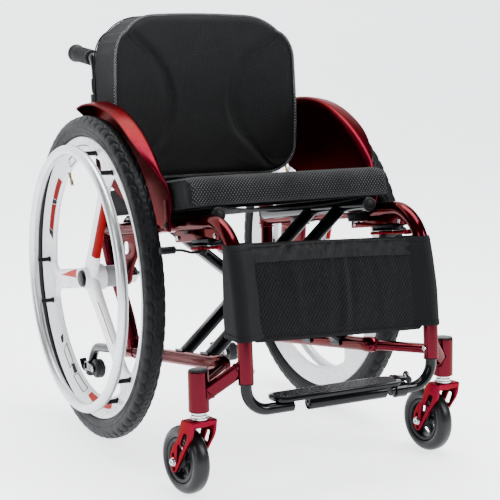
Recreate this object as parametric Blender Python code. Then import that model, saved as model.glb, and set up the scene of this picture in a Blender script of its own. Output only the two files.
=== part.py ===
# Folding sports wheelchair in metres, +Z up, with its footplate towards -Y.
#
# Heights are from the ground and depths from the rear axle. The two sides mirror each other
# about X = 0. The cross brace, the fabric and the footplate lie between them.

import math

import bmesh
import bpy
from mathutils import Matrix, Vector

# Facets round the large wheels, the casters and the tubes
WHEEL_SIDES = 36
CASTER_SIDES = 24
TUBE_SIDES = 10

# Clearances
GAP = 0.0003
RUNNING = 0.0004

# Rear wheels
WHEEL_RADIUS = 0.305
WHEEL_OUT = 0.065
TYRE_HALF_WIDTH = 0.018
TYRE_DEPTH = 0.0386
RIM_DEPTH = 0.0565
RIM_HALF_WIDTH = 0.0131
SPOKES = 3
SPOKE_PHASE = 68.5
SPOKE_WIDTH = 0.040
SPOKE_FILLET = 0.034
HUB_RADIUS = 0.0215
HUB_OUTER = 0.0225
HUB_INNER = 0.0437
AXLE_RADIUS = 0.0060
BUTTON_RADIUS = 0.0155
BUTTON_TRAVEL = 0.004
PLUNGER_RADIUS = 0.0028
PLUNGER_ENGAGED = 0.010
PUSHRIM_RADIUS = 0.2424
PUSHRIM_TUBE = 0.0095
PUSHRIM_OUT = 0.0394
POST_ANGLE = 10.0

# Casters
CASTER_RADIUS = 0.057
CASTER_HALF_WIDTH = 0.0150
CASTER_OUT = 0.060
CASTER_TRAIL = 0.042
CASTER_HUB_HALF = 0.0186
LEG_WALL = 0.0055
CROWN_CLEAR = 0.0195
STEM_AHEAD = 0.1395
STEM_RADIUS = 0.0064
BEARING_HEIGHT = 0.0115
HOUSING_RADIUS = 0.0170
HOUSING_HEIGHT = 0.067
CAP_HEIGHT = 0.0035
CASTER_TURN = {"right": 8.1, "left": 4.4}

# Side frames. The foot tube's line lies FOOT_DROP under the axle, and every long rail climbs
# towards the front by SLOPE.
TUBE = 0.0125
FRAME_X = 0.180
BRACE_INSET = 0.030
SLOPE = 0.130
FOOT_DROP = 0.156
TOP_RISE = 0.2435
RAIL_RISE = 0.2545
REAR_POST_Y = 0.098
REAR_LUG_Y = 0.044
LUG_RADIUS = 0.0140
LUG_LENGTH = 0.058
FRONT_AHEAD = 0.048
FRONT_RISE = 0.045
FRONT_BOW = 0.72
BEND_RISE = 0.236
BEND_BACK = 0.1118
SADDLES = (0.112, 0.325)

# Cross brace, with stations along the foot tube's line
BRACE_WIDE = 0.030
BRACE_THICK = 0.020
BRACE_LEFT_AT = (0.178, 0.285)
BRACE_RIGHT_AT = (0.145, 0.252)
FOOT_REAR = -0.028
FOOT_FRONT = 0.335
RAIL_REAR = -0.016
RAIL_FRONT = 0.380
RAIL_RADIUS = 0.0120
PIVOT_RADIUS = 0.0050

# Seat and back
SEAT_OVERHANG = 0.020
SEAT_THICK = 0.056
SEAT_FRONT = -0.344
SEAT_REAR = 0.052
SLING_THICK = 0.0025
SLING_SAG = 0.010
BACK_OUT = 0.010
BACK_CLEAR = 0.0098017
BACK_TALL = 0.315
BACK_FRONT_Y = -0.012
BACK_HOLLOW = 0.043
BACK_CORNER = 0.050
POST_RADIUS = 0.0110
POST_TALL = 0.205
POST_LEAN = 0.0745
POST_SOCKET = 0.018
GRIP_LENGTH = 0.096
GRIP_RADIUS = 0.0160
CLAMP_DROP = 0.054

# Side guards
GUARD_OUT = 0.025
GUARD_CLEAR = 0.0255
GUARD_WALL = 0.003
GUARD_REAR_ANGLE = 104.0
GUARD_FRONT_ANGLE = 21.0
GUARD_EDGE = ((0.052, 0.111), (-0.135, 0.022), (-WHEEL_RADIUS - 0.001, -0.016))
GUARD_BOSSES = (-0.150, -0.262)

# Brakes
BRAKE_BAR_ENDS = (-0.063, 0.111)
BRAKE_BAR_THICK = 0.010
BRAKE_BAR_DROP = 0.031
BRAKE_AHEAD = 0.043
BRAKE_PIVOT_AHEAD = 0.026
BRAKE_REACH = 0.080
SHOE_AHEAD = 0.007
SHOE_RADIUS = 0.0066

# Calf strap, with heights over the front tube's lower end
STRAP_LOW = 0.053
STRAP_HIGH = 0.210
STRAP_CLOTH = 0.0026
STRAP_BACK = 0.0040
POCKET_IN = 0.041

# Footrest
HANGER_RADIUS = 0.0095
HANGER_DROP = 0.047
HANGER_BEND = 0.040
HANGER_ENGAGED = 0.026
STUB_IN = 0.086
PLATE_NEAR_IN = 0.052
PLATE_FAR_IN = 0.062
PLATE_THICK = 0.008
PLATE_AHEAD = 0.0145
PLATE_BACK = 0.0375
PLATE_PIVOT_IN = 0.042
PIVOT_LIFT = 0.0025
HINGE_CANT = 28.0
BAR_RADIUS = 0.0110
BAR_NEAR_IN = 0.114
BAR_FAR_IN = 0.096

# Anti-tippers
TIPPER_RADIUS = 0.0095
TIPPER_IN = 0.023
TIPPER_Y = 0.228
TIPPER_Z = 0.073
TIPPER_WHEEL = 0.020
TIPPER_END = 0.281

# Places that follow from the sizes above
WHEEL_X = FRAME_X + WHEEL_OUT
RIM_OUTER = WHEEL_RADIUS - TYRE_DEPTH
RIM_INNER = RIM_OUTER - RIM_DEPTH
CASTER_X = FRAME_X + CASTER_OUT
CROWN_Z = 2 * CASTER_RADIUS + CROWN_CLEAR
HOUSING_LOW = CROWN_Z + BEARING_HEIGHT + 3 * GAP
HOUSING_HIGH = HOUSING_LOW + HOUSING_HEIGHT
FOOT_X = FRAME_X - BRACE_INSET
FOOT_Z = WHEEL_RADIUS - FOOT_DROP
FRONT_X = FRAME_X - 0.001
FRONT_LOW = FOOT_Z + FRONT_RISE
STEM_Y = -WHEEL_RADIUS - STEM_AHEAD
FRONT_Y = STEM_Y - FRONT_AHEAD
BEND_START = FRONT_Y + BEND_BACK
HANGER_Y = FRONT_Y + 0.0004
HANGER_Z = FRONT_LOW - HANGER_DROP
PLATE_FRONT = FRONT_Y - PLATE_AHEAD
PLATE_REAR = FRONT_Y + PLATE_BACK
PLATE_NEAR = PLATE_NEAR_IN - FRAME_X
PLATE_FAR = FRAME_X - PLATE_FAR_IN
PLATE_PIVOT_X = FRAME_X - PLATE_PIVOT_IN
BAR_ENDS = (BAR_NEAR_IN - FRAME_X, FRAME_X - BAR_FAR_IN)
STUB_END = FRAME_X - STUB_IN
POCKET_HALF = FRAME_X - POCKET_IN
TIPPER_X = FRAME_X - TIPPER_IN
SHOE_Y = -WHEEL_RADIUS - SHOE_AHEAD
BRAKE_Y = SHOE_Y - BRAKE_AHEAD
BRAKE_PIVOT_Y = SHOE_Y - BRAKE_PIVOT_AHEAD
BRAKE_BAR = (BRAKE_Y + BRAKE_BAR_ENDS[0], BRAKE_Y + BRAKE_BAR_ENDS[1])
SEAT_HALF = FRAME_X + SEAT_OVERHANG
BACK_HALF = FRAME_X + BACK_OUT
GUARD_X = FRAME_X + GUARD_OUT
GUARD_RADIUS = WHEEL_RADIUS + GUARD_CLEAR
TILT = math.atan(SLOPE)
ALONG = Vector((0.0, -math.cos(TILT), math.sin(TILT)))
ABOVE = Vector((0.0, math.sin(TILT), math.cos(TILT)))
RAIL_ABOVE = RAIL_RISE * math.cos(TILT)
SEAT_TOP = FOOT_Z + RAIL_RISE + (RAIL_RADIUS + 2 * GAP + SLING_THICK + SEAT_THICK) / math.cos(TILT)
BACK_LOW = SEAT_TOP + BACK_CLEAR
BACK_HIGH = BACK_LOW + BACK_TALL
POST_TOP = BACK_LOW + POST_TALL
CLAMP_Z = POST_TOP - CLAMP_DROP
TUBE_UNDER = TUBE / math.cos(TILT)
UP = Vector((0, 0, 1))
BACKWARD = Vector((0, 1, 0))
OUTWARD = Vector((1, 0, 0))
SIDES = (("right", -1.0), ("left", 1.0))

for old in list(bpy.data.objects):
    bpy.data.objects.remove(old, do_unlink=True)

chair = bpy.data.objects.new("chair_base", None)
chair.empty_display_size = 0.1
bpy.context.scene.collection.objects.link(chair)
looks = {}


def look(name, colour, roughness, metallic=0.0, coat=0.0):
    material = bpy.data.materials.new(name)
    material.use_nodes = True
    shader = material.node_tree.nodes["Principled BSDF"]
    shader.inputs["Base Color"].default_value = (*colour, 1.0)
    shader.inputs["Roughness"].default_value = roughness
    shader.inputs["Metallic"].default_value = metallic
    shader.inputs["Coat Weight"].default_value = coat
    material.diffuse_color = (*colour, 1.0)
    looks[name] = material


look("candy_red", (0.235, 0.004, 0.014), 0.22, 0.55, 0.8)
look("satin_red", (0.235, 0.020, 0.035), 0.36, 0.35, 0.3)
look("anodised_red", (0.42, 0.022, 0.040), 0.34, 0.7)
look("gloss_black", (0.012, 0.013, 0.016), 0.22, 0.0, 0.6)
look("black_plastic", (0.020, 0.021, 0.023), 0.48)
look("black_rubber", (0.024, 0.025, 0.027), 0.72)
look("white_rim", (0.80, 0.80, 0.81), 0.30, 0.0, 0.4)
look("pale_alloy", (0.74, 0.75, 0.76), 0.30, 0.75)
look("steel", (0.60, 0.61, 0.62), 0.25, 1.0)
look("black_mesh", (0.020, 0.021, 0.023), 0.85)
look("black_cloth", (0.016, 0.017, 0.019), 0.80)


# Objects and their parents


def add_object(shape, name, material, parent=chair, helper=False):
    """Link a bmesh as a new object. A helper is a Boolean's operand and stays out of sight."""
    bmesh.ops.recalc_face_normals(shape, faces=shape.faces)
    mesh = bpy.data.meshes.new(name)
    shape.to_mesh(mesh)
    shape.free()
    thing = bpy.data.objects.new(name, mesh)
    bpy.context.scene.collection.objects.link(thing)
    thing.parent = parent
    if helper:
        thing.hide_render = True
        thing.display_type = "WIRE"
        return thing
    mesh.materials.append(looks[material])
    mesh.shade_smooth()
    mesh.set_sharp_from_angle(angle=math.radians(32))
    return thing


def build(name, material, shapes, cuts=(), parent=chair):
    """One solid: the union of the shapes, less the cuts."""
    thing = add_object(shapes[0], name, material, parent)
    steps = [("UNION", shape) for shape in shapes[1:]] + [("DIFFERENCE", cut) for cut in cuts]
    for i, (operation, shape) in enumerate(steps):
        change = thing.modifiers.new(f"{operation.lower()} {i}", "BOOLEAN")
        change.operation = operation
        change.solver = "EXACT"
        change.object = add_object(shape, f"{name}_helper_{i}", None, parent, True)
    return thing


def empty_at(name, place, parent=chair):
    pivot = bpy.data.objects.new(name, None)
    pivot.empty_display_size = 0.02
    bpy.context.scene.collection.objects.link(pivot)
    pivot.parent = parent
    pivot.location = place
    return pivot


# Shapes


def skin(shape, rings, closed=False):
    """Faces between successive rings of points, with end caps unless the rings close up."""
    size = len(rings[0])
    pairs = list(zip(rings, rings[1:])) + ([(rings[-1], rings[0])] if closed else [])
    for here, there in pairs:
        for j in range(size):
            k = (j + 1) % size
            shape.faces.new((here[j], here[k], there[k], there[j]))
    if not closed:
        shape.faces.new(rings[0])
        shape.faces.new(list(reversed(rings[-1])))


def swept(path, radius, sides=TUBE_SIDES, wide=None, thin_way=None):
    """A round bar along a path, or an oval one that is `wide` across its thin way."""
    path = [Vector(p) for p in path]
    shape = bmesh.new()
    rings = []
    side = None
    for i, point in enumerate(path):
        before = (point - path[i - 1]).normalized() if i > 0 else Vector()
        after = (path[i + 1] - point).normalized() if i + 1 < len(path) else Vector()
        way = (before + after).normalized()
        if side is None:
            side = (thin_way or (UP if abs(way.z) < 0.9 else BACKWARD)).cross(way)
        side = (side - way * side.dot(way)).normalized()
        thin = way.cross(side)
        ring = []
        for j in range(sides):
            turn = 2 * math.pi * (j + 0.5) / sides
            across = side * math.cos(turn) * (wide / 2 if wide else radius)
            ring.append(shape.verts.new(point + across + thin * math.sin(turn) * radius))
        rings.append(ring)
    skin(shape, rings)
    return shape


def rod(start, end, radius, sides=TUBE_SIDES):
    return swept((start, end), radius, sides)


def turning_bore(radius, sides=TUBE_SIDES):
    """Radius of a faceted bore in which a shaft of this radius can turn."""
    return (radius + RUNNING / 2) / math.cos(math.pi / sides)


def turned(profile, sides, closed=False):
    """A solid turned about X from (x, radius) pairs. A closed profile makes a ring."""
    shape = bmesh.new()
    rings = []
    for x, radius in profile:
        turns = [2 * math.pi * j / sides for j in range(sides)]
        rings.append(
            [shape.verts.new((x, radius * math.cos(t), radius * math.sin(t))) for t in turns]
        )
    skin(shape, rings, closed)
    return shape


def slab(outline, x0, x1):
    """An outline of (y, z) pairs, extruded from x0 to x1."""
    shape = bmesh.new()
    skin(shape, [[shape.verts.new((x, y, z)) for y, z in outline] for x in (x0, x1)])
    return shape


def block(low, high):
    return slab(
        [(low[1], low[2]), (high[1], low[2]), (high[1], high[2]), (low[1], high[2])], low[0], high[0]
    )


def moved(shape, matrix):
    bmesh.ops.transform(shape, matrix=matrix, verts=shape.verts)
    return shape


def gathered(shapes):
    """Several shapes that stand apart, as one."""
    whole = bmesh.new()
    for shape in shapes:
        spare = bpy.data.meshes.new("spare")
        shape.to_mesh(spare)
        shape.free()
        whole.from_mesh(spare)
        bpy.data.meshes.remove(spare)
    return whole


def between(front, back):
    """A closed solid between two equal grids of points, such as the two faces of a cushion."""
    shape = bmesh.new()
    rows, columns = len(front), len(front[0])
    near = [[shape.verts.new(p) for p in row] for row in front]
    far = [[shape.verts.new(p) for p in row] for row in back]
    for i in range(rows - 1):
        for j in range(columns - 1):
            for grid in (near, far):
                shape.faces.new(
                    (grid[i][j], grid[i][j + 1], grid[i + 1][j + 1], grid[i + 1][j])
                )
    edge = [(0, j) for j in range(columns)] + [(i, columns - 1) for i in range(1, rows)]
    edge += [(rows - 1, j) for j in range(columns - 2, -1, -1)]
    edge += [(i, 0) for i in range(rows - 2, 0, -1)]
    for (a, b), (c, d) in zip(edge, edge[1:] + edge[:1]):
        shape.faces.new((near[a][b], far[a][b], far[c][d], near[c][d]))
    return shape


def bezier(p0, p1, p2, p3, pieces):
    """A smooth path from p0 to p3 that sets off towards p1 and arrives from p2."""
    p0, p1, p2, p3 = Vector(p0), Vector(p1), Vector(p2), Vector(p3)
    path = []
    for i in range(pieces + 1):
        t = i / pieces
        s = 1 - t
        path.append(p0 * s**3 + p1 * 3 * s * s * t + p2 * 3 * s * t * t + p3 * t**3)
    return path


# The tilted plane of the rails


def in_plane(x, along, above):
    """A point given across the chair, then along and above the line of the foot tube."""
    return Vector((x, 0.0, FOOT_Z)) + ALONG * along + ABOVE * above


def top_z(y):
    return FOOT_Z + TOP_RISE - SLOPE * y


def foot_z(y):
    return FOOT_Z - SLOPE * y


def post_y(z):
    return REAR_POST_Y + (z - FOOT_Z - TOP_RISE) * POST_LEAN


def front_tube_path(s):
    """Centre line of the top and front tube: straight, round the knee, then bowed down."""
    x = s * FRAME_X
    knee_z = FOOT_Z + BEND_RISE
    rise = knee_z - FRONT_LOW
    knee_y = FRONT_Y + FRONT_BOW * rise**2
    steep = 2 * FRONT_BOW * rise
    corner_y = (knee_y + steep * (top_z(0) - knee_z)) / (1 + steep * SLOPE)
    corner = Vector((x, corner_y, top_z(corner_y)))
    start = Vector((x, BEND_START, top_z(BEND_START)))
    knee = Vector((s * FRONT_X, knee_y, knee_z))
    path = [Vector((x, REAR_POST_Y + 0.002, top_z(REAR_POST_Y + 0.002)))]
    path += bezier(start, start.lerp(corner, 0.55), knee.lerp(corner, 0.55), knee, 5)
    for i in range(1, 4):
        z = knee_z - rise * i / 3
        path.append(Vector((s * FRONT_X, FRONT_Y + FRONT_BOW * (z - FRONT_LOW) ** 2, z)))
    return path


def front_tube_between(s, low, high):
    """The part of the front tube's centre line between two heights, from the top down."""
    path = front_tube_path(s)
    found = []
    for here, there in zip(path[1:], path[2:]):
        if here.z <= there.z:
            continue
        if there.z < high <= here.z:
            found.append(here.lerp(there, (here.z - high) / (here.z - there.z)))
        if low < there.z < high:
            found.append(there)
        if there.z <= low < here.z:
            found.append(here.lerp(there, (here.z - low) / (here.z - there.z)))
    return found


# Side frames


def make_side_frame(tag, s):
    x = s * FRAME_X
    shapes = [swept(front_tube_path(s), TUBE)]

    # Rear tube, from the post's socket down and inward to the lug
    lug_point = Vector((s * FOOT_X, REAR_LUG_Y, foot_z(REAR_LUG_Y)))
    socket = Vector((x, REAR_POST_Y, top_z(REAR_POST_Y)))
    shapes.append(
        swept(
            bezier(
                socket,
                socket + Vector((0, -0.008, -0.080)),
                lug_point + Vector((0, 0.016, 0.097)),
                lug_point,
                5,
            ),
            TUBE,
            thin_way=BACKWARD,
        )
    )
    post_way = Vector((0, POST_LEAN, 1)).normalized()
    shapes.append(rod(socket - post_way * 0.010, socket + post_way * 0.034, 0.0150, 12))

    # Lugs that hold the brace's foot tube at both ends, each with its pin
    rear_end = FOOT_REAR - GAP
    front_end = FOOT_FRONT + GAP
    shapes.append(
        rod(in_plane(s * FOOT_X, rear_end, 0), in_plane(s * FOOT_X, rear_end - LUG_LENGTH, 0), LUG_RADIUS)
    )
    shapes.append(
        rod(in_plane(s * FOOT_X, front_end, 0), in_plane(s * FOOT_X, front_end + 0.028, 0), LUG_RADIUS)
    )
    pins = []
    for end, way in ((rear_end, 1), (front_end, -1)):
        pins.append(
            rod(
                in_plane(s * FOOT_X, end - way * 0.010, 0),
                in_plane(s * FOOT_X, end + way * 0.012, 0),
                PIVOT_RADIUS,
            )
        )
    shapes.append(gathered(pins))

    # Caster housing, the link out to it and the gusset that ties it to the front tube
    housing_low = Vector((s * CASTER_X, STEM_Y, HOUSING_LOW))
    housing_high = Vector((s * CASTER_X, STEM_Y, HOUSING_HIGH))
    shapes.append(rod(housing_low, housing_high, HOUSING_RADIUS, 16))
    shapes.append(rod(housing_high - UP * 0.001, housing_high + UP * CAP_HEIGHT, HOUSING_RADIUS - 0.0015, 16))
    link_start = in_plane(s * FOOT_X, front_end + 0.015, 0)
    link_end = housing_low.lerp(housing_high, 0.68) + Vector((-s * 0.004, 0.006, 0))
    shapes.append(swept((link_start, link_end), 0.0085, 12, wide=0.026, thin_way=UP))
    gusset_start = housing_low.lerp(housing_high, 0.46) + Vector((-s * 0.005, -0.003, 0))
    gusset_end = Vector((s * FRONT_X, FRONT_Y + 0.004, FRONT_LOW + 0.028))
    shapes.append(
        swept((gusset_start, gusset_end), 0.0085, 12, wide=0.030, thin_way=BACKWARD)
    )

    # Brake bar under the top tube
    rear, front = BRAKE_BAR[1], BRAKE_BAR[0]
    shapes.append(
        slab(
            [
                (front, top_z(front) - 0.010),
                (front, top_z(front) - BRAKE_BAR_DROP),
                (rear, top_z(rear) - BRAKE_BAR_DROP),
                (rear, top_z(rear) - 0.010),
            ],
            x - BRAKE_BAR_THICK / 2,
            x + BRAKE_BAR_THICK / 2,
        )
    )

    # Saddles that the seat rail comes down on
    saddle_top = RAIL_ABOVE - RAIL_RADIUS - GAP
    turn = Matrix.Rotation(-TILT, 4, "X")
    inner, outer = FOOT_X - 0.012, FRAME_X
    for along in SADDLES:
        low, high = sorted((s * inner, s * outer))
        saddle = block((low, -0.014, -0.012), (high, 0.014, 0.0))
        place = in_plane(0, along, saddle_top)
        shapes.append(moved(saddle, Matrix.Translation(place) @ turn))

    post_foot = socket + post_way * (0.034 - POST_SOCKET - GAP)
    cuts = [
        rod(housing_low - UP * 0.01, housing_high - UP * 0.012, STEM_RADIUS + GAP, 12),
        rod(
            (s * FRONT_X, HANGER_Y, FRONT_LOW - 0.012),
            (s * FRONT_X, HANGER_Y, FRONT_LOW + HANGER_ENGAGED + 0.003),
            HANGER_RADIUS + RUNNING,
        ),
        rod(post_foot, post_foot + post_way * 0.05, POST_RADIUS + GAP),
        rod(
            in_plane(s * FOOT_X, rear_end - LUG_LENGTH - 0.01, 0),
            in_plane(s * FOOT_X, rear_end - LUG_LENGTH + 0.026, 0),
            turning_bore(TIPPER_RADIUS),
        ),
    ]
    return build(f"side_frame_{tag}", "candy_red", shapes, cuts)


def make_axle_mount(tag, s):
    """The plate under the top tube, the sleeve through it and the pin in the sleeve."""
    x = s * FRAME_X
    z = WHEEL_RADIUS
    high = [(0.026, top_z(0.026) - TUBE_UNDER - GAP), (-0.062, top_z(-0.062) - TUBE_UNDER - GAP)]
    low = [(-0.060, 0.047), (-0.027, 0.012), (-0.0205, -0.010), (-0.008, -0.0205)]
    low += [(0.010, -0.0200), (0.0215, -0.008), (0.030, 0.027)]
    plate = slab(high + [(y, z + rise) for y, rise in low], x - 0.0045, x + 0.0045)
    window = [(0.012, 0.062), (-0.024, 0.066), (-0.024, 0.044), (0.012, 0.036)]
    cuts = [
        slab([(y, z + rise) for y, rise in window], x - 0.02, x + 0.02),
        rod((x - 0.02, 0, z), (x + 0.02, 0, z), 0.0120 + GAP, 16),
    ]
    build(f"axle_plate_{tag}", "candy_red", [plate], cuts)

    sleeve_end = WHEEL_X - HUB_INNER - 0.0007
    sleeve = rod((s * (FRAME_X - 0.021), 0, z), (s * sleeve_end, 0, z), 0.0120, 16)
    nut = rod((s * (FRAME_X - 0.018), 0, z), (s * (FRAME_X - 0.0045 - GAP), 0, z), 0.0165, 6)
    collar = rod((s * (FRAME_X + 0.0045 + GAP), 0, z), (s * (sleeve_end - 0.004), 0, z), 0.0155, 16)
    bore = rod((s * (FRAME_X - 0.05), 0, z), (s * (sleeve_end + 0.01), 0, z), AXLE_RADIUS + GAP, 12)
    build(f"axle_sleeve_{tag}", "gloss_black", [sleeve, nut, collar], [bore])

    head = WHEEL_X + HUB_OUTER - 0.0102
    pin = rod((s * (FRAME_X - 0.029), 0, z), (s * (head + 0.001), 0, z), AXLE_RADIUS, 12)
    pin_end = head + 0.0040
    cap = rod((s * head, 0, z), (s * pin_end, 0, z), 0.0125, 16)
    depth = PLUNGER_ENGAGED + BUTTON_TRAVEL + 0.0005
    socket = rod((s * (pin_end - depth), 0, z), (s * (pin_end + 0.01), 0, z), PLUNGER_RADIUS + GAP, 8)
    build(f"axle_pin_{tag}", "steel", [pin, cap], [socket])

    # The button stands off the pin by its travel, and its plunger slides in the pin.
    stand_off = BUTTON_TRAVEL + 0.0005
    button = empty_at(f"hub_button_axis_{tag}", (s * (pin_end + stand_off), 0, z))
    r = BUTTON_RADIUS
    profile = [(0.0, r * 0.80), (0.0045, r), (0.0066, r), (0.0084, r * 0.70)]
    face = turned([(s * x, r) for x, r in profile], 16)
    plunger = rod((-s * (stand_off + PLUNGER_ENGAGED), 0, 0), (s * 0.001, 0, 0), PLUNGER_RADIUS, 8)
    build(f"hub_button_{tag}", "black_plastic", [face, plunger], (), button)


# Rear wheels


def make_tyre(tag, s, hub):
    """The tyre on the rim's bed. Its profile rises from the bead to the crown and down again."""
    bead = RIM_OUTER + GAP
    w, r = TYRE_HALF_WIDTH, WHEEL_RADIUS
    half = [(0.0105, bead), (w, r - 0.0200), (w * 0.78, r - 0.0055)]
    profile = [(-x, y) for x, y in half] + [(0.0, r)] + half[::-1]
    add_object(turned(profile, WHEEL_SIDES, True), f"rear_tyre_{tag}", "black_rubber", hub)


def spoke_half(radius):
    """Half the width of a spoke, which widens in a fillet where it meets the rim."""
    start = RIM_INNER - SPOKE_FILLET
    reach = min(1.0, max(0.0, (radius - start) / SPOKE_FILLET))
    return SPOKE_WIDTH / 2 + SPOKE_FILLET * (1 - math.sqrt(1 - reach * reach)) * 0.8


def make_rim(tag, s, hub):
    """The one-piece rim: a deep ring, three dished spokes and a hub barrel."""
    w = RIM_HALF_WIDTH
    ring = [(-w, RIM_OUTER), (-w * 0.62, RIM_INNER + 0.004), (0.0, RIM_INNER)]
    ring += [(w * 0.62, RIM_INNER + 0.004), (w, RIM_OUTER)]
    shapes = [turned(ring, WHEEL_SIDES, True)]
    r = HUB_RADIUS
    barrel = [(-HUB_INNER, r - 0.001), (-0.019, r - 0.001), (-0.014, r + 0.004)]
    barrel += [(0.004, r + 0.006), (0.014, r + 0.001), (HUB_OUTER, r - 0.002)]
    shapes.append(turned([(s * x, radius) for x, radius in barrel], 16))
    section = ((-1, -0.4), (-0.6, -1), (0.6, -1), (1, -0.4), (1, 0.4), (0.6, 1), (-0.6, 1), (-1, 0.4))
    reach = RIM_INNER + 0.010
    for k in range(SPOKES):
        angle = math.radians(SPOKE_PHASE + 360 * k / SPOKES)
        out = Vector((0, -math.cos(angle), math.sin(angle)))
        across = Vector((0, math.sin(angle), math.cos(angle)))
        spoke = bmesh.new()
        rings = []
        for i in range(7):
            radius = 0.012 + (reach - 0.012) * (i / 6) ** 0.75
            dish = 0.0075 * (1 - radius / reach)
            thick = 0.0066 + 0.0030 * (1 - radius / reach)
            ring = []
            for a, b in section:
                point = out * radius + across * (a * spoke_half(radius))
                ring.append(spoke.verts.new(point + OUTWARD * (s * dish + b * thick)))
            rings.append(ring)
        skin(spoke, rings)
        shapes.append(spoke)
    bore = turned([(-0.06, AXLE_RADIUS + RUNNING), (0.06, AXLE_RADIUS + RUNNING)], 12)
    recess_floor = HUB_OUTER - 0.0102 - RUNNING
    recess = turned([(s * recess_floor, BUTTON_RADIUS + 0.0009), (s * 0.06, BUTTON_RADIUS + 0.0009)], 16)
    build(f"rear_rim_{tag}", "white_rim", shapes, [bore, recess], hub)


def make_pushrim(tag, s, hub):
    """The handrim with two posts beside each spoke, which stand on the rim's face."""
    ring = []
    for j in range(8):
        turn = 2 * math.pi * (j + 0.5) / 8
        x = s * PUSHRIM_OUT + PUSHRIM_TUBE * math.cos(turn)
        ring.append((x, PUSHRIM_RADIUS + PUSHRIM_TUBE * math.sin(turn)))
    post = 0.0042
    share = (PUSHRIM_RADIUS + post - RIM_INNER - 0.004) / (RIM_DEPTH - 0.008)
    face = RIM_HALF_WIDTH * (0.62 + 0.38 * share)
    posts = []
    for k in range(SPOKES):
        for step in (-POST_ANGLE, POST_ANGLE):
            angle = math.radians(SPOKE_PHASE + 360 * k / SPOKES + step)
            spot = Vector((0, -math.cos(angle), math.sin(angle))) * PUSHRIM_RADIUS
            posts.append(rod(spot + OUTWARD * s * (face + GAP), spot + OUTWARD * s * PUSHRIM_OUT, post, 6))
    build(f"pushrim_{tag}", "pale_alloy", [turned(ring, WHEEL_SIDES, True), gathered(posts)], (), hub)


# Casters


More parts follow.
